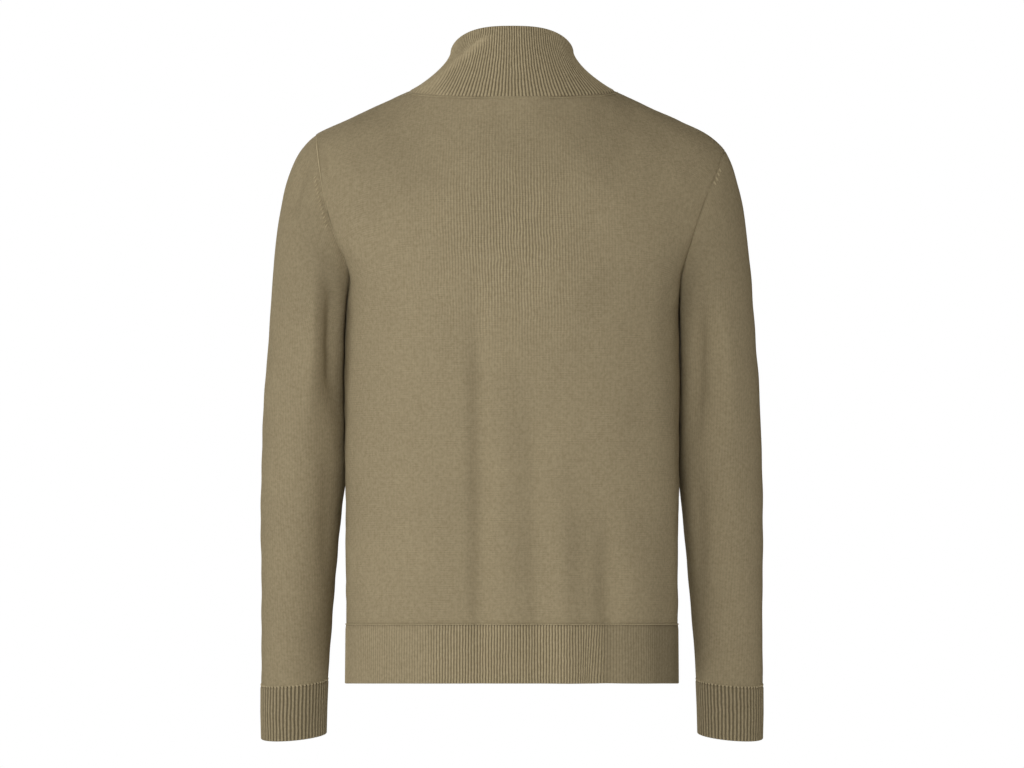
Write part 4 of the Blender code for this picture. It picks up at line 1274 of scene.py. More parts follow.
@dataclass
class RibBand:
    """What the ribbed bands share: how a plain surface is given its ribs and its rolled rim."""

    ribs: int
    per_rib: int = 8
    pitch: float = 0.0032
    steps: tuple[int, int] = (3, 4)
    wander: float = 0.00022
    wander_wave: float = 0.03
    wander_run: float = 0.008
    rim: float = 0.00125
    rim_rows: Triple = (0.55, 0.2, 0.0)
    strength: float = 1.5
    flat_shade: float = 0.32
    begin: float = 0.35
    begin_run: float = 0.003
    inner_relief: float = 0.6
    seed: int = 5

    def ribbed(
        self, grid: Array, normals: Array, closed: bool, strength: Array | float, seed: int,
        shade: Array | float = 0.0,
    ) -> ClothWall:
        """A wall whose outer face has ribs, with its rim at the last row.

        The face stands out by RIB_RELIEF * strength * (profile - 1/2), and each rib wanders to
        the side by a small sum of waves along its length.

        Args:
            grid: the plain outer surface, per_rib columns to a rib.
            normals: its normals.
            closed: whether it runs all round.
            strength: of the ribs, at each point or the same for all.
            seed: of the wandering.
            shade: painted shade that the finish adds everywhere, crests too.

        Returns:
            The wall.
        """
        columns = np.arange(grid.shape[1]) / self.per_rib
        down = run_down(grid)
        gap = down[-1:] - down
        profile = np.broadcast_to(rib_profile(columns)[None, :], grid.shape[:2])
        around = unit(changes(grid, closed))
        drift = unevenness(grid, self.wander, seed, self.wander_wave)
        drift = drift * smooth_step(down / self.wander_run)
        begun = self.begin + (1.0 - self.begin) * smooth_step(down / self.begin_run)
        height = RIB_RELIEF * strength * (profile * begun - 0.5)
        roll = rim_roll(gap, self.rim)
        outer = grid + normals * (height - roll)[..., None] + around * drift[..., None]
        inner = grid + normals * (roll - RIB_WALL - height * self.inner_relief)[..., None]
        wide = grid.shape[1] + int(closed)
        u = np.broadcast_to(np.arange(wide) / self.per_rib * self.pitch, (len(grid), wide))
        v = np.concatenate([down, down[:, :1]], axis=1) if closed else down
        # The valley value is painted shade for the rib finish: full in the rib valleys and
        # growing with the ribs' strength; flat_shade keeps some of it where the ribs are
        # flattened, and shade adds more everywhere.
        depth = (1.0 - profile) * strength + self.flat_shade * (self.strength - strength)
        depth = depth + shade
        values = {"valley": np.broadcast_to(np.clip(depth, 0.0, 1.0), profile.shape)}
        return ClothWall(outer, inner, np.stack([u, v], axis=-1), values, closed)

    def row_shares(self, rows: int, length: float) -> Array:
        """Even shares along the band, and three more rows close to its rim; rows + 4 in all."""
        even = np.linspace(0.0, 1.0 - self.rim / length, rows + 1)
        close = 1.0 - self.rim / length * np.array(self.rim_rows)
        return np.concatenate([even, close])


@dataclass
class HemBand(RibBand):
    """The rib band round the hem, from one front edge to the other."""

    ribs: int = 318
    per_rib: int = 6
    steps: tuple[int, int] = (3, 3)
    back: tuple[Section, Section] = (
        Section("band bottom", 0.1865, 0.1862, 0.0, -0.6635, 0.119, -0.6570, 90),
        Section("band top", 0.1858, 0.1857, 0.0, -0.5969, 0.119, -0.5919, 90),
    )
    front: tuple[Section, Section] = (
        Section("band bottom", 0.1865, 0.1862, 0.0, -0.6635, -0.129, -0.6650, 90),
        Section("band top", 0.1858, 0.1857, 0.0, -0.5969, -0.129, -0.5999, 90),
    )
    fold_behind: float = 0.04
    overlap: float = 0.0005
    strength: float = 1.45
    faint: float = 0.72
    faint_span: Pair = (0.05, 0.06)
    flat_right: float = 0.80
    flat_span: Pair = (-0.095, -0.012)
    # painted shade towards the right end of the back hem, and more at its right corner
    shade_right: float = 0.16
    shade_corner: float = 0.12
    corner_span: Pair = (-0.140, -0.035)
    pinch: float = 0.0045
    pinch_at: float = -0.092
    pinch_half: float = 0.012
    rows: int = 15
    length: float = 0.064
    chain_out: float = 0.0003
    chain_up: float = -0.0005
    chain_radius: float = 0.0008
    grid: Array = field(init=False)

    def behind(self, grid: Array) -> Array:
        """1 on the back, fading to 0 at the side seams."""
        return smooth_step(grid[..., 1] / self.fold_behind)

    def surface(self) -> tuple[Array, Array]:
        """Outer grid and normals, from the hem seam down to the rim: straight columns between
        the two sections, each spread evenly by its length."""
        share = np.linspace(0.0, 1.0, ROUND_POINTS)
        lines = []
        for back, front in zip(self.back[::-1], self.front[::-1]):
            quarters = (
                half_row(front, Side.LEFT, share, ZIP_HALF),
                half_row(back, Side.LEFT, share, 0.0)[::-1],
                half_row(back, Side.RIGHT, share, 0.0)[1:],
                half_row(front, Side.RIGHT, share, ZIP_HALF)[::-1],
            )
            line = np.concatenate([quarters[0], quarters[1][1:], quarters[2], quarters[3][1:]])
            lines.append(spread(line, self.ribs * self.per_rib + 1))
        at = self.row_shares(self.rows - 4, self.length)[:, None, None]
        lines[0][:, 2] += self.overlap
        grid = lines[0] * (1 - at) + lines[1] * at
        bent = self.pinch * at[..., 0] * bell(grid[..., 0] - self.pinch_at, self.pinch_half)
        grid[..., 0] += bent * self.behind(grid)
        folds = fold_heights(grid, BACK_FOLDS) * self.behind(grid)
        grid = grid + level(body_normals(grid)) * folds[..., None]
        return grid, level(body_normals(grid))

    def build(self, finishes: Finishes) -> Piece:
        """The band as a ribbed wall."""
        grid, normals = self.surface()
        x, behind = grid[..., 0], self.behind(grid)
        left = ramp(x, self.faint_span) * behind
        right = ramp(x, self.flat_span) * behind
        corner = ramp(x, self.corner_span) * behind
        strength = self.strength * (1.0 - self.faint * left - self.flat_right * right)
        # painted shade towards the right end of the back hem, and more at its right corner
        shade = self.shade_right * right + self.shade_corner * corner
        wall = self.ribbed(grid, normals, False, strength, self.seed, shade)
        self.grid = grid
        chain = grid[0] + normals[0] * self.chain_out + np.array([0.0, 0.0, self.chain_up])
        link_chain("hem_linking", chain, normals[0], self.chain_radius, finishes)
        piece = wall.build("hem_rib", finishes.rib, self.steps)
        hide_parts("hem_band")
        return dressed(piece)


@dataclass
class Collar(RibBand):
    """The stand collar: ribs that rise from the neck seam and draw together at the top."""

    ribs: int = 142
    seed: int = 7
    pitch: float = 0.0034
    flat_shade: float = 0.1
    base_keep: float = 0.5
    top_keep: float = 0.7
    overlap: float = 0.0003
    crease: Fold = Fold("collar crease", 0.022, 0.062, 0.105, -0.004, 0.0075, 0.0029)
    crease_fade: float = 0.12
    crease_smooth: float = 0.75
    behind_span: Pair = (-0.012, 0.030)
    away_deep: float = 0.9
    away_span: Pair = (-0.045, -0.05)
    smooth_left: float = 0.62
    smooth_span: Pair = (0.060, 0.032)
    chain_row: int = -3
    chain_out: float = 0.0001
    chain_radius: float = 0.0007
    top_half: float = 0.0683
    top_depth: float = 0.073
    top_y: float = -0.007
    top_side_z: float = 0.0445
    back_rise: float = 0.0245
    flat_power: float = 3.0
    fall_power: float = 0.57
    front_drop: float = 0.022
    front_power: float = 1.5
    base_pull: float = 0.70
    top_pull: float = 0.95
    lean: float = -0.08
    rows: int = 36
    length: float = 0.083
    grid: Array = field(init=False)

    def top_line(self, columns: int) -> Array:
        """The upper edge, from the left front edge round the back to the right: an oval whose
        back is raised by (1 - |sin|^flat)^fall and whose front drops by |cos|^power."""
        angle = np.linspace(math.pi, -math.pi, ROUND_POINTS)
        sine, cosine = np.sin(angle), np.cos(angle)
        x = self.top_half * sine
        y = self.top_y + self.top_depth * cosine
        dome = np.clip(1.0 - np.abs(sine) ** self.flat_power, 0.0, 1.0) ** self.fall_power
        rise = self.back_rise * np.where(cosine > 0, dome, 0.0)
        drop = self.front_drop * np.clip(-cosine, 0, 1) ** self.front_power
        line = np.stack([x, y, self.top_side_z + rise - drop], axis=1)
        line = line[(np.abs(x) >= ZIP_HALF) | (cosine > 0)]
        return spread(line, columns, np.array([1.0, self.top_keep, 1.0]))

    def surface(self, seam: Array, columns: int, at: Array) -> tuple[Array, Array]:
        """Outer grid and normals from the neck seam up.

        Args:
            seam: points, ways and normals of the neck seam.
            columns: how many columns.
            at: the shares up the collar of the rows after the first.

        Returns:
            The grid and its normals.
        """
        base = spread(seam, columns, np.array([1.0, self.base_keep, 1.0]))
        ways, base_normals = unit(base[:, 3:6]), unit(base[:, 6:])
        arrive = np.tile([0.0, self.lean, 1.0], (columns, 1))
        knots = np.stack([base[:, :3] - self.overlap * ways, self.top_line(columns)])
        grid = loft(knots, [at], ways, arrive, self.base_pull, self.top_pull)
        normals = body_normals(grid)
        normals[0] = base_normals
        return grid, normals

    def build(self, torso: Torso, finishes: Finishes) -> Piece:
        """The collar as a ribbed wall, with a chain of linking stitches under its seam."""
        at = self.row_shares(self.rows - 3, self.length)[1:]
        grid, normals = self.surface(torso.neck_seam(), self.ribs * self.per_rib + 1, at)
        self.grid = grid
        high = self.crease.height
        band = np.clip(fold_heights(grid, (self.crease,), self.crease_fade) / high, 0.0, 1.0)
        behind = ramp(grid[..., 1], self.behind_span)
        band = band * behind
        grid = grid + normals * (band * high)[..., None]
        away = ramp(grid[..., 0], self.away_span) * behind
        plain = ramp(grid[..., 0], self.smooth_span) * behind
        strength = self.strength * (1.0 - self.crease_smooth * band)
        strength = strength * (1.0 + self.away_deep * away) * (1.0 - self.smooth_left * plain)
        wall = self.ribbed(grid, normals, False, strength, self.seed)
        row = torso.neck_seam(self.chain_row)
        chain = row[:, :3] + row[:, 6:] * self.chain_out
        link_chain("collar_linking", chain, row[:, 6:], self.chain_radius, finishes)
        piece = wall.build("collar_rib", finishes.rib, self.steps)
        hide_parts("collar")
        return dressed(piece)


# ---- sleeves ----


class Tube(NamedTuple):
    """A section of a sleeve or cuff."""

    name: str
    z: float
    x_inner: float
    x_outer: float
    y_middle: float
    half_depth: float


class Crease(NamedTuple):
    """A soft crease of a sleeve: turns in degrees, and shares of the way along it."""

    name: str
    side: Side
    turn_top: float
    along_top: float
    turn_bottom: float
    along_bottom: float
    half_width: float
    height: float


SLEEVE_TUBES = (
    Tube("upper arm", -0.300, 0.1840, 0.2752, -0.018, 0.064),
    Tube("above elbow", -0.428, 0.1862, 0.2817, -0.031, 0.0562),
    Tube("elbow", -0.457, 0.1897, 0.2825, -0.034, 0.054),
    Tube("forearm", -0.560, 0.1997, 0.2826, -0.046, 0.045),
    Tube("cuff seam", -0.6645, 0.2080, 0.2836, -0.058, 0.037),
)
CUFF_TUBES = (
    Tube("cuff top", -0.6648, 0.2080, 0.2838, -0.058, 0.0374),
    Tube("cuff middle", -0.6960, 0.2094, 0.2841, -0.061, 0.0370),
    Tube("cuff edge", -0.7265, 0.2103, 0.2835, -0.064, 0.0358),
)
DROP_OUT, DROP_BACK = 0.085, 0.09
STITCH_POD = pod(3, 6)
CREASES = (
    Crease("armpit trough", Side.LEFT, 61, 0.10, 45, 0.52, 12, -0.0078),
    Crease("back ridge", Side.LEFT, 86, 0.08, 78, 0.55, 13, 0.0045),
    Crease("cap dimple", Side.LEFT, 146, 0.01, 140, 0.16, 12, -0.0060),
    Crease("armpit trough", Side.RIGHT, 70, 0.14, 52, 0.60, 14, -0.0050),
    Crease("back ridge", Side.RIGHT, 108, 0.16, 96, 0.70, 18, 0.0025),
    Crease("elbow trough", Side.LEFT, 60, 0.50, 40, 0.85, 15, -0.0030),
    Crease("elbow trough", Side.RIGHT, 58, 0.55, 42, 0.88, 15, -0.0028),
)


def tube_ring(tube: Tube, side: Side, turn: Array) -> Array:
    """One section of a sleeve: an ellipse, where turn 0 faces the body, a quarter turn the back
    and a half turn outwards. Low sections drop outwards and towards the back."""
    middle = (tube.x_inner + tube.x_outer) / 2
    half = (tube.x_outer - tube.x_inner) / 2
    x = middle - half * np.cos(turn)
    y = tube.y_middle + tube.half_depth * np.sin(turn)
    top, end = SLEEVE_TUBES[0].z, SLEEVE_TUBES[-1].z
    share = smooth_step(np.array((top - tube.z) / (top - end)))
    z = tube.z - share * (DROP_OUT * (x - middle) + DROP_BACK * (y - tube.y_middle))
    return np.stack([side.value * x, y, z], axis=1)


class ArmSeam(NamedTuple):
    """How an armhole seam shows: the cord's radius and what it gains at the top, the groove and
    what it gains there, the ridge beside it, and where its fashioning marks lie."""

    cord: float
    cord_top: float
    groove: float
    groove_top: float
    ridge: float
    mark_gap: float
    mark_z: Pair


ARM_SEAMS = {
    Side.LEFT: ArmSeam(0.0004, 0.0009, 0.0001, 0.0, 0.0009, 0.0054, (-0.154, -0.098)),
    Side.RIGHT: ArmSeam(0.0003, 0.0, 0.0003, 0.0014, 0.0, 0.0030, (-0.106, -0.090)),
}


@dataclass
class Sleeve:
    """One set-in sleeve of plain knit, from the armhole to the cuff seam."""

    side: Side
    cap_rows: int = 84
    tube_rows: tuple[int, ...] = (48, 12, 36, 36)
    out_under: float = 0.10
    out_power: float = 0.7
    out_sides: float = 0.30
    clear_of_body: float = 0.0016
    clear_run: float = 0.35
    body_reach: float = 0.03
    overlap: float = -0.0002
    ridge_at: float = 0.0027
    ridge_width: float = 0.0022
    ridge_drop: float = 0.125
    ridge_span: Pair = (-0.080, 0.03)
    cord_span: Pair = (-0.066, 0.016)
    cord_fade: float = 0.8
    cord_swell: float = 0.1
    groove: float = 0.0001
    groove_width: float = 0.0013
    uneven: float = 0.0004
    uneven_run: float = 0.03
    uneven_end: float = 0.02
    lines: float = 0.12
    seed: int = 31
    body_step: int = 4
    blurs: tuple[int, int, int] = (4, 3, 2)
    mark_pitch: float = 0.0043
    mark_lean: Pair = (0.60, 0.80)
    mark_size: Triple = (0.0008, 0.0015, 0.0026)
    grid: Array = field(init=False)
    normals: Array = field(init=False)

    def cap_way(self, turn: Array) -> Array:
        """How the columns leave the armhole: down at the underarm, outwards at the top."""
        shoulder = SHOULDERS[self.side]
        top = np.sin(turn / 2) ** 2
        x = self.out_under + (shoulder.outward - self.out_under) * top**self.out_power
        z = -1.0 + (1.0 - shoulder.downward) * top
        return unit(np.stack([self.side.value * x, self.out_sides * np.sin(turn), z], axis=1))

    def crease_heights(self, rows: Array, turn: Array) -> Array:
        """How far creases move the sleeve: a bell across each, faded at both its ends."""
        heights = np.zeros((len(rows), len(turn)))
        degrees = np.degrees(turn)[None, :]
        for crease in CREASES:
            if crease.side is not self.side:
                continue
            share = (rows[:, None] - crease.along_top) / (crease.along_bottom - crease.along_top)
            line = crease.turn_top + (crease.turn_bottom - crease.turn_top) * share
            fade = faded(share, FOLD_FADE)
            heights += crease.height * bell(degrees - line, crease.half_width) * fade
        return heights

    def high(self, points: Array) -> Array:
        """0 low on the armhole and 1 near its top, where its seam stands out more."""
        return smooth_step((points[..., 2] + self.ridge_drop) / self.ridge_drop * 2)

    def body_points(self, torso: Torso) -> tuple[Array, Array, Array]:
        """Points and normals of the body beside the sleeve, and 1 where they lie in a panel."""
        clouds = []
        half, left = torso.columns, self.side is Side.LEFT
        beside = slice(0, half) if left else slice(half, None)
        back = [part[:, beside] for part in torso.back]
        thin = (slice(None, None, self.body_step),) * 2
        for (points, normals), edge in ((back, 0 if left else -1), (torso.fronts[self.side], -1)):
            inside = np.ones(points.shape[:2])
            inside[torso.open_row :, edge] = 0.0
            inside[-1] = 0.0
            clouds.append(
                (points[thin].reshape(-1, 3), normals[thin].reshape(-1, 3), inside[thin].ravel())
            )
        return tuple(np.concatenate(parts) for parts in zip(*clouds))

    def push_clear(self, points: Array, cloud: tuple, clearance: Array) -> Array:
        """Points nearer the body than the clearance move out along the body's normals.

        The distance to the body is measured along the normal of its nearest point, and the
        moves are blurred over the grid so that they leave no facets.

        Args:
            points: rows x columns x 3.
            cloud: what body_points gives.
            clearance: for each row.

        Returns:
            The moved points.
        """
        body, body_normals, inside = (part.astype(np.float32) for part in cloud)
        square = (body**2).sum(axis=1)
        short = np.zeros(points.shape[:2])
        ways = np.zeros(points.shape)
        for row, line in enumerate(points.astype(np.float32)):
            apart = square[None] - 2 * line @ body.T
            nearest = apart.argmin(axis=1)
            normal = body_normals[nearest]
            offset = line - body[nearest]
            height = (offset * normal).sum(axis=1)
            need = np.clip(clearance[row] - height, 0.0, None) * inside[nearest]
            short[row] = np.where(np.linalg.norm(offset, axis=1) < self.body_reach, need, 0.0)
            ways[row] = normal
        turns, widen, soften = self.blurs
        ways = np.stack([blurred(ways[..., axis], turns, True) for axis in range(3)], axis=-1)
        short = np.maximum(blurred(short, widen, True), short)
        return points + unit(ways) * blurred(short, soften, True)[..., None]

    def shape(self, torso: Torso) -> None:
        """Work out the outer grid and normals from the armhole down."""
        loop, loop_normals = torso.armhole(self.side)
        count = len(loop)
        turn = np.arange(count) / count * 2 * math.pi
        way = self.cap_way(turn)
        top = np.sin(turn / 2)[:, None] ** 2
        first = loop + self.overlap * unit(way * top + loop_normals * (1 - top))
        knots = np.stack([first, *(tube_ring(tube, self.side, turn) for tube in SLEEVE_TUBES)])
        shares = span_shares((self.cap_rows, *self.tube_rows))
        grid = loft(knots, shares, start=way, start_pull=SHOULDERS[self.side].pull)
        rows = np.linspace(0.0, 1.0, len(grid))
        grid = grid + tube_normals(grid) * self.crease_heights(rows, turn)[..., None]
        opened = smooth_step(np.arange(len(grid)) / self.cap_rows / self.clear_run)
        clearance = SEAM_GAP + (self.clear_of_body - SEAM_GAP) * opened
        grid[1:] = self.push_clear(grid[1:], self.body_points(torso), clearance[1:])
        self.grid, self.normals = grid, tube_normals(grid)

    def build(self, torso: Torso, finishes: Finishes) -> Piece:
        """The sleeve as a wall, with the groove and the ridge along its armhole seam."""
        self.shape(torso)
        grid, normals = self.grid, self.normals
        down = run_down(grid)
        height = unevenness(grid, self.uneven, self.seed + self.side.value)
        height = height * smooth_step(down / self.uneven_run)
        height = height * smooth_step((down[-1:] - down) / self.uneven_end)
        seam, high = ARM_SEAMS[self.side], self.high(grid)
        ridge = seam.ridge * high * (1.0 - ramp(grid[..., 2], self.ridge_span))
        height += ridge * bell(down - self.ridge_at, self.ridge_width)
        groove = seam.groove + seam.groove_top * high
        height -= groove * bell(down, self.groove_width)
        height -= self.groove * bell(down[-1:] - down, self.groove_width)
        face = grid + normals * height[..., None]
        wide = np.concatenate([grid, grid[:, :1]], axis=1)
        around = run_across(wide, grid.shape[1] // 2) * self.side.value
        uv = np.stack([around, np.concatenate([down, down[:, :1]], axis=1)], axis=-1)
        show = {"show": np.full(grid.shape[:2], self.lines)}
        wall = ClothWall(face, grid - normals * KNIT_WALL, uv, show, True)
        name = f"sleeve_cloth_{self.side.word}"
        piece = wall.build(name, finishes.knit, KNIT_STEPS, KNIT_SHARP)
        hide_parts(f"sleeve_{self.side.word}")
        return dressed(piece)

    def seam_line(self, torso: Torso, finishes: Finishes) -> Piece:
        """The thin cord of linked stitches along the armhole, where sleeve and body meet."""
        line, normals = torso.armhole(self.side)
        normals = unit(normals + self.normals[0])
        seam = ARM_SEAMS[self.side]
        over = ramp(line[:, 2], self.cord_span)
        radius = seam.cord + seam.cord_top * (self.high(line) * (1.0 - self.cord_fade * over))
        radius = radius * linked(distances(line), self.cord_swell)
        name, yarn = f"armhole_linking_{self.side.word}", finishes.linking
        return dressed(tube_along(name, line, normals, radius, LINK_FLAT, yarn, closed=True))

    def fashioning(self, finishes: Finishes) -> Piece:
        """The slanting marks beside the armhole, where stitches were taken together: pods laid
        at even steps along a line that keeps its distance from the seam."""
        seam = ARM_SEAMS[self.side]
        down = run_down(self.grid)
        row = int(np.abs(down.mean(axis=1) - seam.mark_gap).argmin())
        line, normals = self.grid[row], self.normals[row]
        away = unit(self.grid[row + 2] - self.grid[row - 2])
        channels = np.concatenate([line, normals, away], axis=1)
        marks = []
        half = len(line) // 2
        for stretch in (channels[:half], channels[half:][::-1]):
            kept = stretch[(stretch[:, 2] > seam.mark_z[0]) & (stretch[:, 2] < seam.mark_z[1])]
            count = int(distances(kept)[-1] / self.mark_pitch)
            even = spread(kept, count)
            up = unit(np.gradient(even[:, :3], axis=0))
            away = even[:, 6:] - (even[:, 6:] * up).sum(axis=1, keepdims=True) * up
            lean = unit(self.mark_lean[0] * up - self.mark_lean[1] * unit(away))
            marks.append((even[:, :3], half_axes(unit(even[:, 3:6]), lean, self.mark_size)))
        places, frames = (np.concatenate(parts) for parts in zip(*marks))
        name = f"fashioning_marks_{self.side.word}"
        return dressed(scatter(name, STITCH_POD, places, frames, finishes.linking))


@dataclass
class Cuff(RibBand):
    """One rib cuff, from the sleeve seam to its rolled edge."""

    side: Side = Side.LEFT
    ribs: int = 54
    seed: int = 41
    pitch: float = 0.0037
    # painted shade over the whole cuff, crests too
    shade: float = 0.32
    rows: int = 21
    length: float = 0.062
    bead: Triple = (0.0017, 0.0009, 0.0014)
    bead_in: float = 0.0002

    def surface(self) -> tuple[Array, Array]:
        """Outer grid and normals: rings spread evenly, joined by straight lines."""
        turn = np.linspace(0.0, 2 * math.pi, ROUND_POINTS)
        rings = [tube_ring(tube, self.side, turn) for tube in CUFF_TUBES]
        knots = np.stack([spread(ring, self.ribs * self.per_rib + 1)[:-1] for ring in rings])
        at = self.row_shares(self.rows - 3, self.length)
        place = at * (len(knots) - 1)
        low = np.minimum(place.astype(int), len(knots) - 2)
        part = (place - low)[:, None, None]
        grid = knots[low] * (1 - part) + knots[low + 1] * part
        return grid, tube_normals(grid)

    def build(self, finishes: Finishes) -> Piece:
        """The cuff as a ribbed wall."""
        grid, normals = self.surface()
        seed = self.seed + self.side.value
        # the cuff's rib valleys get painted shade, and more over the whole cuff
        wall = self.ribbed(grid, normals, True, self.strength, seed, self.shade)
        crest = slice(self.per_rib // 2, None, self.per_rib)
        out = normals[0, crest]
        places = grid[0, crest] - out * self.bead_in + np.array([0.0, 0.0, self.bead_in])
        frames = half_axes(out, unit(grid[1, crest] - grid[0, crest]), self.bead)
        name = f"cuff_linking_{self.side.word}"
        dressed(scatter(name, STITCH_POD, places, frames, finishes.linking))
        piece = wall.build(f"cuff_rib_{self.side.word}", finishes.rib, self.steps)
        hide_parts(f"cuff_{self.side.word}")
        return dressed(piece)


# ---- zip ----


PLATE_SHARP = 35


def rounded_box(half: float, low: float, high: float, corner: float, taper: float = 0.0) -> Array:
    """A loop of points (across, along), anticlockwise: a box with quarter circles for corners,
    whose width at its foot is 1 - taper of that at its head.

    Args:
        half: half its width.
        low: where it starts along the zip.
        high: where it ends.
        corner: radius of its corners.
        taper: how much narrower the foot is.

    Returns:
        24 x 2.
    """
    turn = np.linspace(0.0, math.pi / 2, 6)[None] + np.arange(4)[:, None] * math.pi / 2
    right = np.array([1, -1, -1, 1])[:, None]
    up = np.array([1, 1, -1, -1])[:, None]
    across = right * (half - corner) + corner * np.cos(turn)
    along = (low + high) / 2 + up * ((high - low) / 2 - corner) + corner * np.sin(turn)
    across = across * (1.0 - taper * (high - along) / (high - low))
    return np.stack([across, along], axis=-1).reshape(-1, 2)


def plate(
    name: str, loop: Array, hole: Array | None, half: float, bevel: float, place: Array,
    axes: Array, material: Material,
) -> Piece:
    """A flat metal plate with its edges rounded off.

    The grid's rows are rings: round the outer edge they go from the front face over the two
    bevels to the back face, and round the hole the same way back. Without a hole, each face
    closes on its middle point.

    Args:
        name: of the piece.
        loop: its outline, (across, along).
        hole: outline of the hole, with as many points, or nothing.
        half: half its thickness.
        bevel: how far the edges are cut back.
        place: where (0, 0) of the outline lies.
        axes: unit vectors across, out and along, 3 x 3.
        material: of the plate.

    Returns:
        The object.
    """
    rings = []
    for line, way, order in ((loop, -1.0, 1), (hole, 1.0, -1)):
        if line is None:
            continue
        turned = changes(line, True, 0)
        outward = unit(np.stack([turned[:, 1], -turned[:, 0]], axis=1))
        steps = ((bevel, half), (0.0, half - bevel), (0.0, bevel - half), (bevel, -half))
        for inset, depth in steps[::order]:
            ring = line + way * inset * outward
            rings.append(np.stack([ring[:, 0], np.full(len(ring), depth), ring[:, 1]], axis=1))
    grid = np.stack(rings)
    rows, columns = grid.shape[:2]
    index = index_grid(rows, columns, True, 0, 0)[..., 0]
    points = grid.reshape(-1, 3)
    if hole is None:
        across, along = loop.mean(axis=0)
        points = np.concatenate([points, [[across, half, along], [across, -half, along]]])
        tips = np.full(columns, rows * columns)
        fans = (
            np.stack([index[0, :-1], index[0, 1:], tips], axis=1),
            np.stack([index[-1, 1:], index[-1, :-1], tips + 1], axis=1),
        )
        faces = [np.concatenate(fans)]
    else:
        index, faces = np.concatenate([index, index[:1]]), []
    faces.append(cells(index, True))
    uv = points[:, [0, 2]]
    return make_object(name, place + points @ axes, faces, uv, {}, material, PLATE_SHARP)


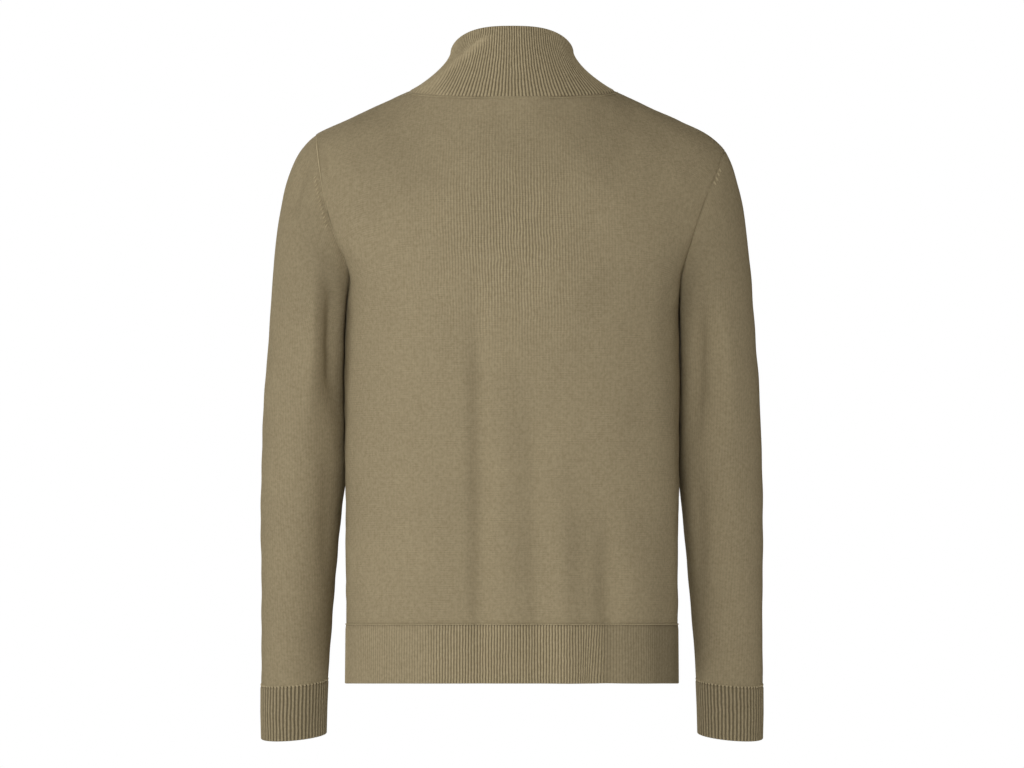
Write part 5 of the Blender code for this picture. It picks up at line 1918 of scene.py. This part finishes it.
@dataclass
class Zip:
    """The zip up the front: tapes, meshed teeth, bottom box, stops, slider and pull.

    Tooth, post and stop give three sizes each: half axes across, out and along for the first
    two, and for a stop its x, half its width and its length.
    """

    torso: Torso
    hem: HemBand
    collar: Collar
    tape_edge: float = 0.0033
    tape_width: float = 0.012
    tape_steps: int = 8
    tape_face: float = -0.0033
    tape_thick: float = 0.0008
    tape_reach: int = 48
    rim_rows: int = 3
    teeth_pitch: float = 0.0031
    tooth: Triple = (0.0019, 0.0011, 0.00076)
    tooth_square: float = 0.55
    tooth_out: float = 0.0011
    tooth_gap: float = 0.001
    chain_depth: float = -0.0022
    chain_half: float = 0.0030
    box_length: float = 0.0090
    box_gap: float = 0.0002
    stop: Triple = (0.0021, 0.0009, 0.0022)
    stop_over: float = 0.0070
    end_corner: float = 0.0005
    end_thick: float = 0.0012
    bevel: float = 0.0003
    slider_below: float = 0.01785
    slider_half: float = 0.0044
    slider_reach: float = 0.0055
    slider_corner: float = 0.0016
    slider_taper: float = 0.24
    slider_bevel: float = 0.00035
    plate_at: float = 0.0014
    backplate_at: float = -0.0049
    plate_thick: float = 0.0006
    post: Triple = (0.0016, 0.0036, 0.00135)
    post_at: Pair = (-0.0018, 0.00385)
    post_square: float = 0.5
    bridge_reach: float = 0.0029
    bridge_foot: float = 0.0018
    bridge_top: float = 0.00485
    bridge_half: float = 0.0008
    bridge_flat: float = 0.7
    bridge_square: float = 0.6
    bridge_points: int = 25
    pivot: float = 0.0033
    pull_half: float = 0.0032
    pull_from: float = 0.0006
    pull_to: float = -0.0260
    pull_corner: float = 0.0022
    pull_narrow: float = 0.2
    pull_run: float = 0.012
    eye_half: float = 0.0013
    eye_to: float = -0.0042
    eye_corner: float = 0.0005

    def rows(self, side: Side) -> list[Array]:
        """The cloth behind one front edge, as grids from the hem up, columns from the zip."""
        order = slice(None) if side is Side.LEFT else slice(None, None, -1)
        reach = slice(0, self.tape_reach)
        band = self.hem.grid[::-1][:-1][:, order][:, reach]
        collar = self.collar.grid[1:][:, order][:, reach]
        return [band, self.torso.fronts[side][0][:, reach], collar]

    def __post_init__(self) -> None:
        """Work out the zip's middle line and the ways out of the cloth along it."""
        line = np.concatenate([grid[:, 0] for grid in self.rows(Side.LEFT)])
        line[:, 0] = 0.0
        ways = unit(np.gradient(line, axis=0))
        out = np.stack([np.zeros(len(line)), -ways[:, 2], ways[:, 1]], axis=1)
        self.line = np.concatenate([line, out], axis=1)
        self.total = distances(line)[-1]

    def frame_at(self, distance: Array) -> tuple[Array, Array, Array]:
        """Points, and unit vectors out and up, at distances along the zip."""
        here = sample(self.line, np.atleast_1d(distance))
        out = unit(here[:, 3:])
        up = np.stack([np.zeros(len(out)), out[:, 2], -out[:, 1]], axis=1)
        return here[:, :3], out, up

    def axes_at(self, distance: float) -> tuple[Array, Array]:
        """A point, and unit vectors across, out and along the zip there."""
        point, out, up = self.frame_at(distance)
        return point[0], np.stack([np.array([1.0, 0.0, 0.0]), out[0], up[0]])

    def tape(self, side: Side, finishes: Finishes) -> Piece:
        """One tape: the cloth's points within reach of the edge, moved in behind it."""
        steps = np.linspace(0.0, self.tape_width, self.tape_steps)
        parts = [np.stack([sample(row, steps) for row in grid]) for grid in self.rows(side)]
        grid = np.concatenate(parts)
        start = grid[:, :1] - np.array([side.value * (ZIP_HALF - self.tape_edge), 0.0, 0.0])
        grid = np.concatenate([start, grid], axis=1)
        across = unit(np.gradient(grid, axis=1))
        out = unit(np.cross(across, np.cross(self.line[:, None, 3:], across)))
        kept = slice(self.rim_rows, -self.rim_rows)
        grid, out = grid[kept], out[kept]
        wide = run_across(grid, 0)
        uv = np.stack([wide, run_down(grid)], axis=-1)
        face = grid + out * self.tape_face
        wall = ClothWall(face, face - out * self.tape_thick, uv, {})
        piece = wall.build(f"tape_{side.word}", finishes.tape, (1, 1), KNIT_SHARP)
        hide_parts(f"zip_tape_{side.word}")
        return dressed(piece)

    def teeth(self, material: Material) -> Piece:
        """Meshed teeth: rounded pods at half a pitch from each other, on alternate sides."""
        first, last = self.box_length + self.tooth_gap, self.total - self.slider_below
        along = np.arange(first, last, self.teeth_pitch / 2)
        points, out, up = self.frame_at(along)
        sign = np.where(np.arange(len(along)) % 2, 1.0, -1.0)[:, None]
        right = np.broadcast_to(np.array([1.0, 0.0, 0.0]), points.shape)
        places = points + out * self.chain_depth + right * sign * self.tooth_out
        across, thick, high = self.tooth
        frames = np.stack([right * across, out * thick, up * high], axis=1)
        return scatter("zip_teeth", pod(3, 8, self.tooth_square), places, frames, material)

    def bridge(self, point: Array, axes: Array, material: Material) -> Piece:
        """The bridge over the pull's bar: a flat cord along half of a squarish oval."""
        turn = np.linspace(0.0, math.pi, self.bridge_points)
        cosine, square = np.cos(turn), self.bridge_square
        along = self.bridge_reach * (np.sign(cosine) * np.abs(cosine) ** square)
        rise = self.bridge_foot + (self.bridge_top - self.bridge_foot) * np.sin(turn) ** square
        line = point + along[:, None] * axes[2] + rise[:, None] * axes[1]
        normals = unit(np.cross(axes[0][None], np.gradient(line, axis=0)))
        radius = np.full(len(line), self.bridge_half)
        flat = self.bridge_flat
        return tube_along("slider_bridge", line, normals, radius, flat, material, 8)

    def slider(self, material: Material) -> list[Piece]:
        """The slider's two plates, the post between them and the bridge."""
        point, axes = self.axes_at(self.total - self.slider_below)
        reach, corner, taper = self.slider_reach, self.slider_corner, self.slider_taper
        loop = rounded_box(self.slider_half, -reach, reach, corner, taper)
        front, back = (point + axes[1] * at for at in (self.plate_at, self.backplate_at))
        half, bevel = self.plate_thick, self.slider_bevel
        spot = point + self.post_at[0] * axes[1] + self.post_at[1] * axes[2]
        frames = (np.array(self.post)[:, None] * axes)[None]
        return [
            plate("slider_plate", loop, None, half, bevel, front, axes, material),
            plate("slider_backplate", loop, None, half, bevel, back, axes, material),
            scatter("slider_post", pod(5, 12, self.post_square), spot[None], frames, material),
            self.bridge(point, axes, material),
        ]

    def pull(self, material: Material) -> Piece:
        """The pull: a long plate with a rounded foot, hung by the bar over its eye."""
        point, axes = self.axes_at(self.total - self.slider_below)
        loop = rounded_box(self.pull_half, self.pull_to, self.pull_from, self.pull_corner)
        wide = smooth_step((self.pull_from - loop[:, 1]) / self.pull_run)
        loop[:, 0] *= (1.0 - self.pull_narrow) + self.pull_narrow * wide
        eye = rounded_box(self.eye_half, self.eye_to, -self.pull_from, self.eye_corner)
        place, half = point + self.pivot * axes[1], self.plate_thick
        return plate("pull_tab", loop, eye, half, self.bevel, place, axes, material)

    def ends(self, material: Material) -> list[tuple[Piece, str]]:
        """The bottom box and the two top stops, each with the node that it stands for."""
        stop_x, stop_half, length = self.stop
        over = self.total - self.slider_below + self.stop_over
        gap, box_half = self.box_gap, self.chain_half
        made = []
        for name, node, x, start, half, low, high in (
            ("bottom_box", "zip_box", 0.0, 0.0, box_half, gap, self.box_length - gap),
            ("top_stop_left", "zip_stop_left", stop_x, over, stop_half, 0.0, length),
            ("top_stop_right", "zip_stop_right", -stop_x, over, stop_half, 0.0, length),
        ):
            middle = (low + high) / 2
            point, axes = self.axes_at(start + middle)
            loop = rounded_box(half, low - middle, high - middle, self.end_corner)
            place = point + self.chain_depth * axes[1] + x * axes[0]
            thick, bevel = self.end_thick, self.bevel
            made.append((plate(name, loop, None, thick, bevel, place, axes, material), node))
        return made

    def build(self, finishes: Finishes) -> list[Piece]:
        """The whole zip, each piece on its body."""
        metal = finishes.metal
        pieces = [self.tape(side, finishes) for side in Side]
        teeth, slider, pull = self.teeth(metal), self.slider(metal), self.pull(metal)
        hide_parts("zip_chain")
        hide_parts("zip_slider")
        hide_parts("zip_pull")
        pieces += [dressed(piece) for piece in (teeth, *slider)]
        pieces.append(dressed(pull, PULL))
        for piece, node in self.ends(metal):
            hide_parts(node)
            pieces.append(dressed(piece))
        return pieces


# ---- studio ----


@dataclass
class Studio:
    """A pale floor, soft light from the picture's left and above, and the camera."""

    eye: Triple = (0.0, 6.0, -0.328)
    lens: float = 188.33
    sensor: float = 36.0
    floor_z: float = -1.6
    floor_radii: tuple[float, ...] = (0.4, 1.2, 2.1, 3.0)
    floor_sides: int = 96
    floor_tone: Colour = (0.86, 0.86, 0.86)
    room_light: float = 0.30
    room_tint: Colour = (1.0, 0.95, 0.86)
    lights: tuple = (
        ("key_light", (3.3, 1.2, 0.8), 1.6, 45.0),
        ("fill_light", (0.6, 4.6, 0.9), 1.4, 74.0),
        ("low_light", (1.4, 4.3, -1.0), 1.4, 30.0),
        ("side_light", (-2.6, 3.4, 0.3), 1.4, 15.0),
        ("front_light", (0.7, -3.4, 1.2), 2.2, 90.0),
    )
    target: Triple = (0.0, 0.0, -0.33)

    def floor(self) -> Piece:
        """A round floor: a grid of radius and turn, closed on its middle point."""
        turn = np.arange(self.floor_sides) / self.floor_sides * 2 * math.pi
        radii = np.array(self.floor_radii)
        ring = np.stack([np.cos(turn), np.sin(turn), np.zeros_like(turn)], axis=-1)
        grid = radii[:, None, None] * ring[None] + np.array([0.0, 0.0, self.floor_z])
        index = index_grid(len(radii), len(turn), True, 1, 1)
        rim = index[0]
        middle = np.broadcast_to(np.array([0, 0]), rim[:-1].shape)
        faces = [cells(index), np.stack([rim[1:], rim[:-1], middle], axis=1)]
        points = np.concatenate([[[0.0, 0.0, self.floor_z]], grid.reshape(-1, 3)])
        corners = np.concatenate([grid, grid[:, :1]], axis=1).reshape(-1, 3)[:, :2]
        corners = np.concatenate([[[0.0, 0.0]], corners])
        finish = PlainFinish("studio_floor", self.floor_tone)
        floor = make_object("floor", points, faces, corners, {}, finish.material())
        return floor

    def world(self) -> None:
        """White to the camera, and a softer even light on the cloth."""
        board = Board("studio", world=True)
        seen = board.node("ShaderNodeLightPath").outputs["Is Camera Ray"]
        power = board.node(
            "ShaderNodeMapRange", {}, {"Value": seen, "To Min": self.room_light, "To Max": 1.0}
        )
        tint = board.blend(seen, self.room_tint, (1.0, 1.0, 1.0))
        bpy.context.scene.world = board.finish(Color=tint, Strength=power.outputs["Result"])

    def light(self, name: str, place: tuple, size: float, power: float) -> None:
        """One square area light that faces the target."""
        lamp = bpy.data.lights.new(name, "AREA")
        lamp.size, lamp.energy = size, power
        obj = bpy.data.objects.new(name, lamp)
        obj.location = place
        way = Vector(self.target) - Vector(place)
        obj.rotation_euler = way.to_track_quat("-Z", "Y").to_euler()
        bpy.context.scene.collection.objects.link(obj)

    def camera(self) -> None:
        """A level camera behind the garment."""
        lens = bpy.data.cameras.new("camera")
        lens.lens, lens.sensor_width, lens.sensor_fit = self.lens, self.sensor, "HORIZONTAL"
        lens.clip_end = 100.0
        obj = bpy.data.objects.new("camera", lens)
        obj.location = self.eye
        obj.rotation_euler = Vector((0.0, -1.0, 0.0)).to_track_quat("-Z", "Y").to_euler()
        bpy.context.scene.collection.objects.link(obj)
        bpy.context.scene.camera = obj

    def build(self) -> None:
        """Everything round the object."""
        self.camera()
        self.world()
        self.floor()
        for name, place, size, power in self.lights:
            self.light(name, place, size, power)
        bpy.context.scene.view_settings.view_transform = "Standard"


def main() -> None:
    """Build the studio, then each piece of the cardigan in order."""
    logging.basicConfig(level=logging.INFO, format="%(name)s: %(message)s")
    Studio().build()
    finishes = Finishes()
    torso = Torso()
    pieces = list(torso.build(finishes))
    for side in Side:
        sleeve = Sleeve(side)
        pieces.append(sleeve.build(torso, finishes))
        pieces += [sleeve.seam_line(torso, finishes), sleeve.fashioning(finishes)]
        pieces.append(Cuff(side=side).build(finishes))
    hem, collar = HemBand(), Collar()
    pieces += [hem.build(finishes), collar.build(torso, finishes)]
    pieces += Zip(torso, hem, collar).build(finishes)
    for piece in pieces:
        triangles = sum(len(face.vertices) - 2 for face in piece.data.polygons)
        LOG.info("%s: %d points, %d triangles", piece.name, len(piece.data.vertices), triangles)


if __name__ == "__main__":
    main()
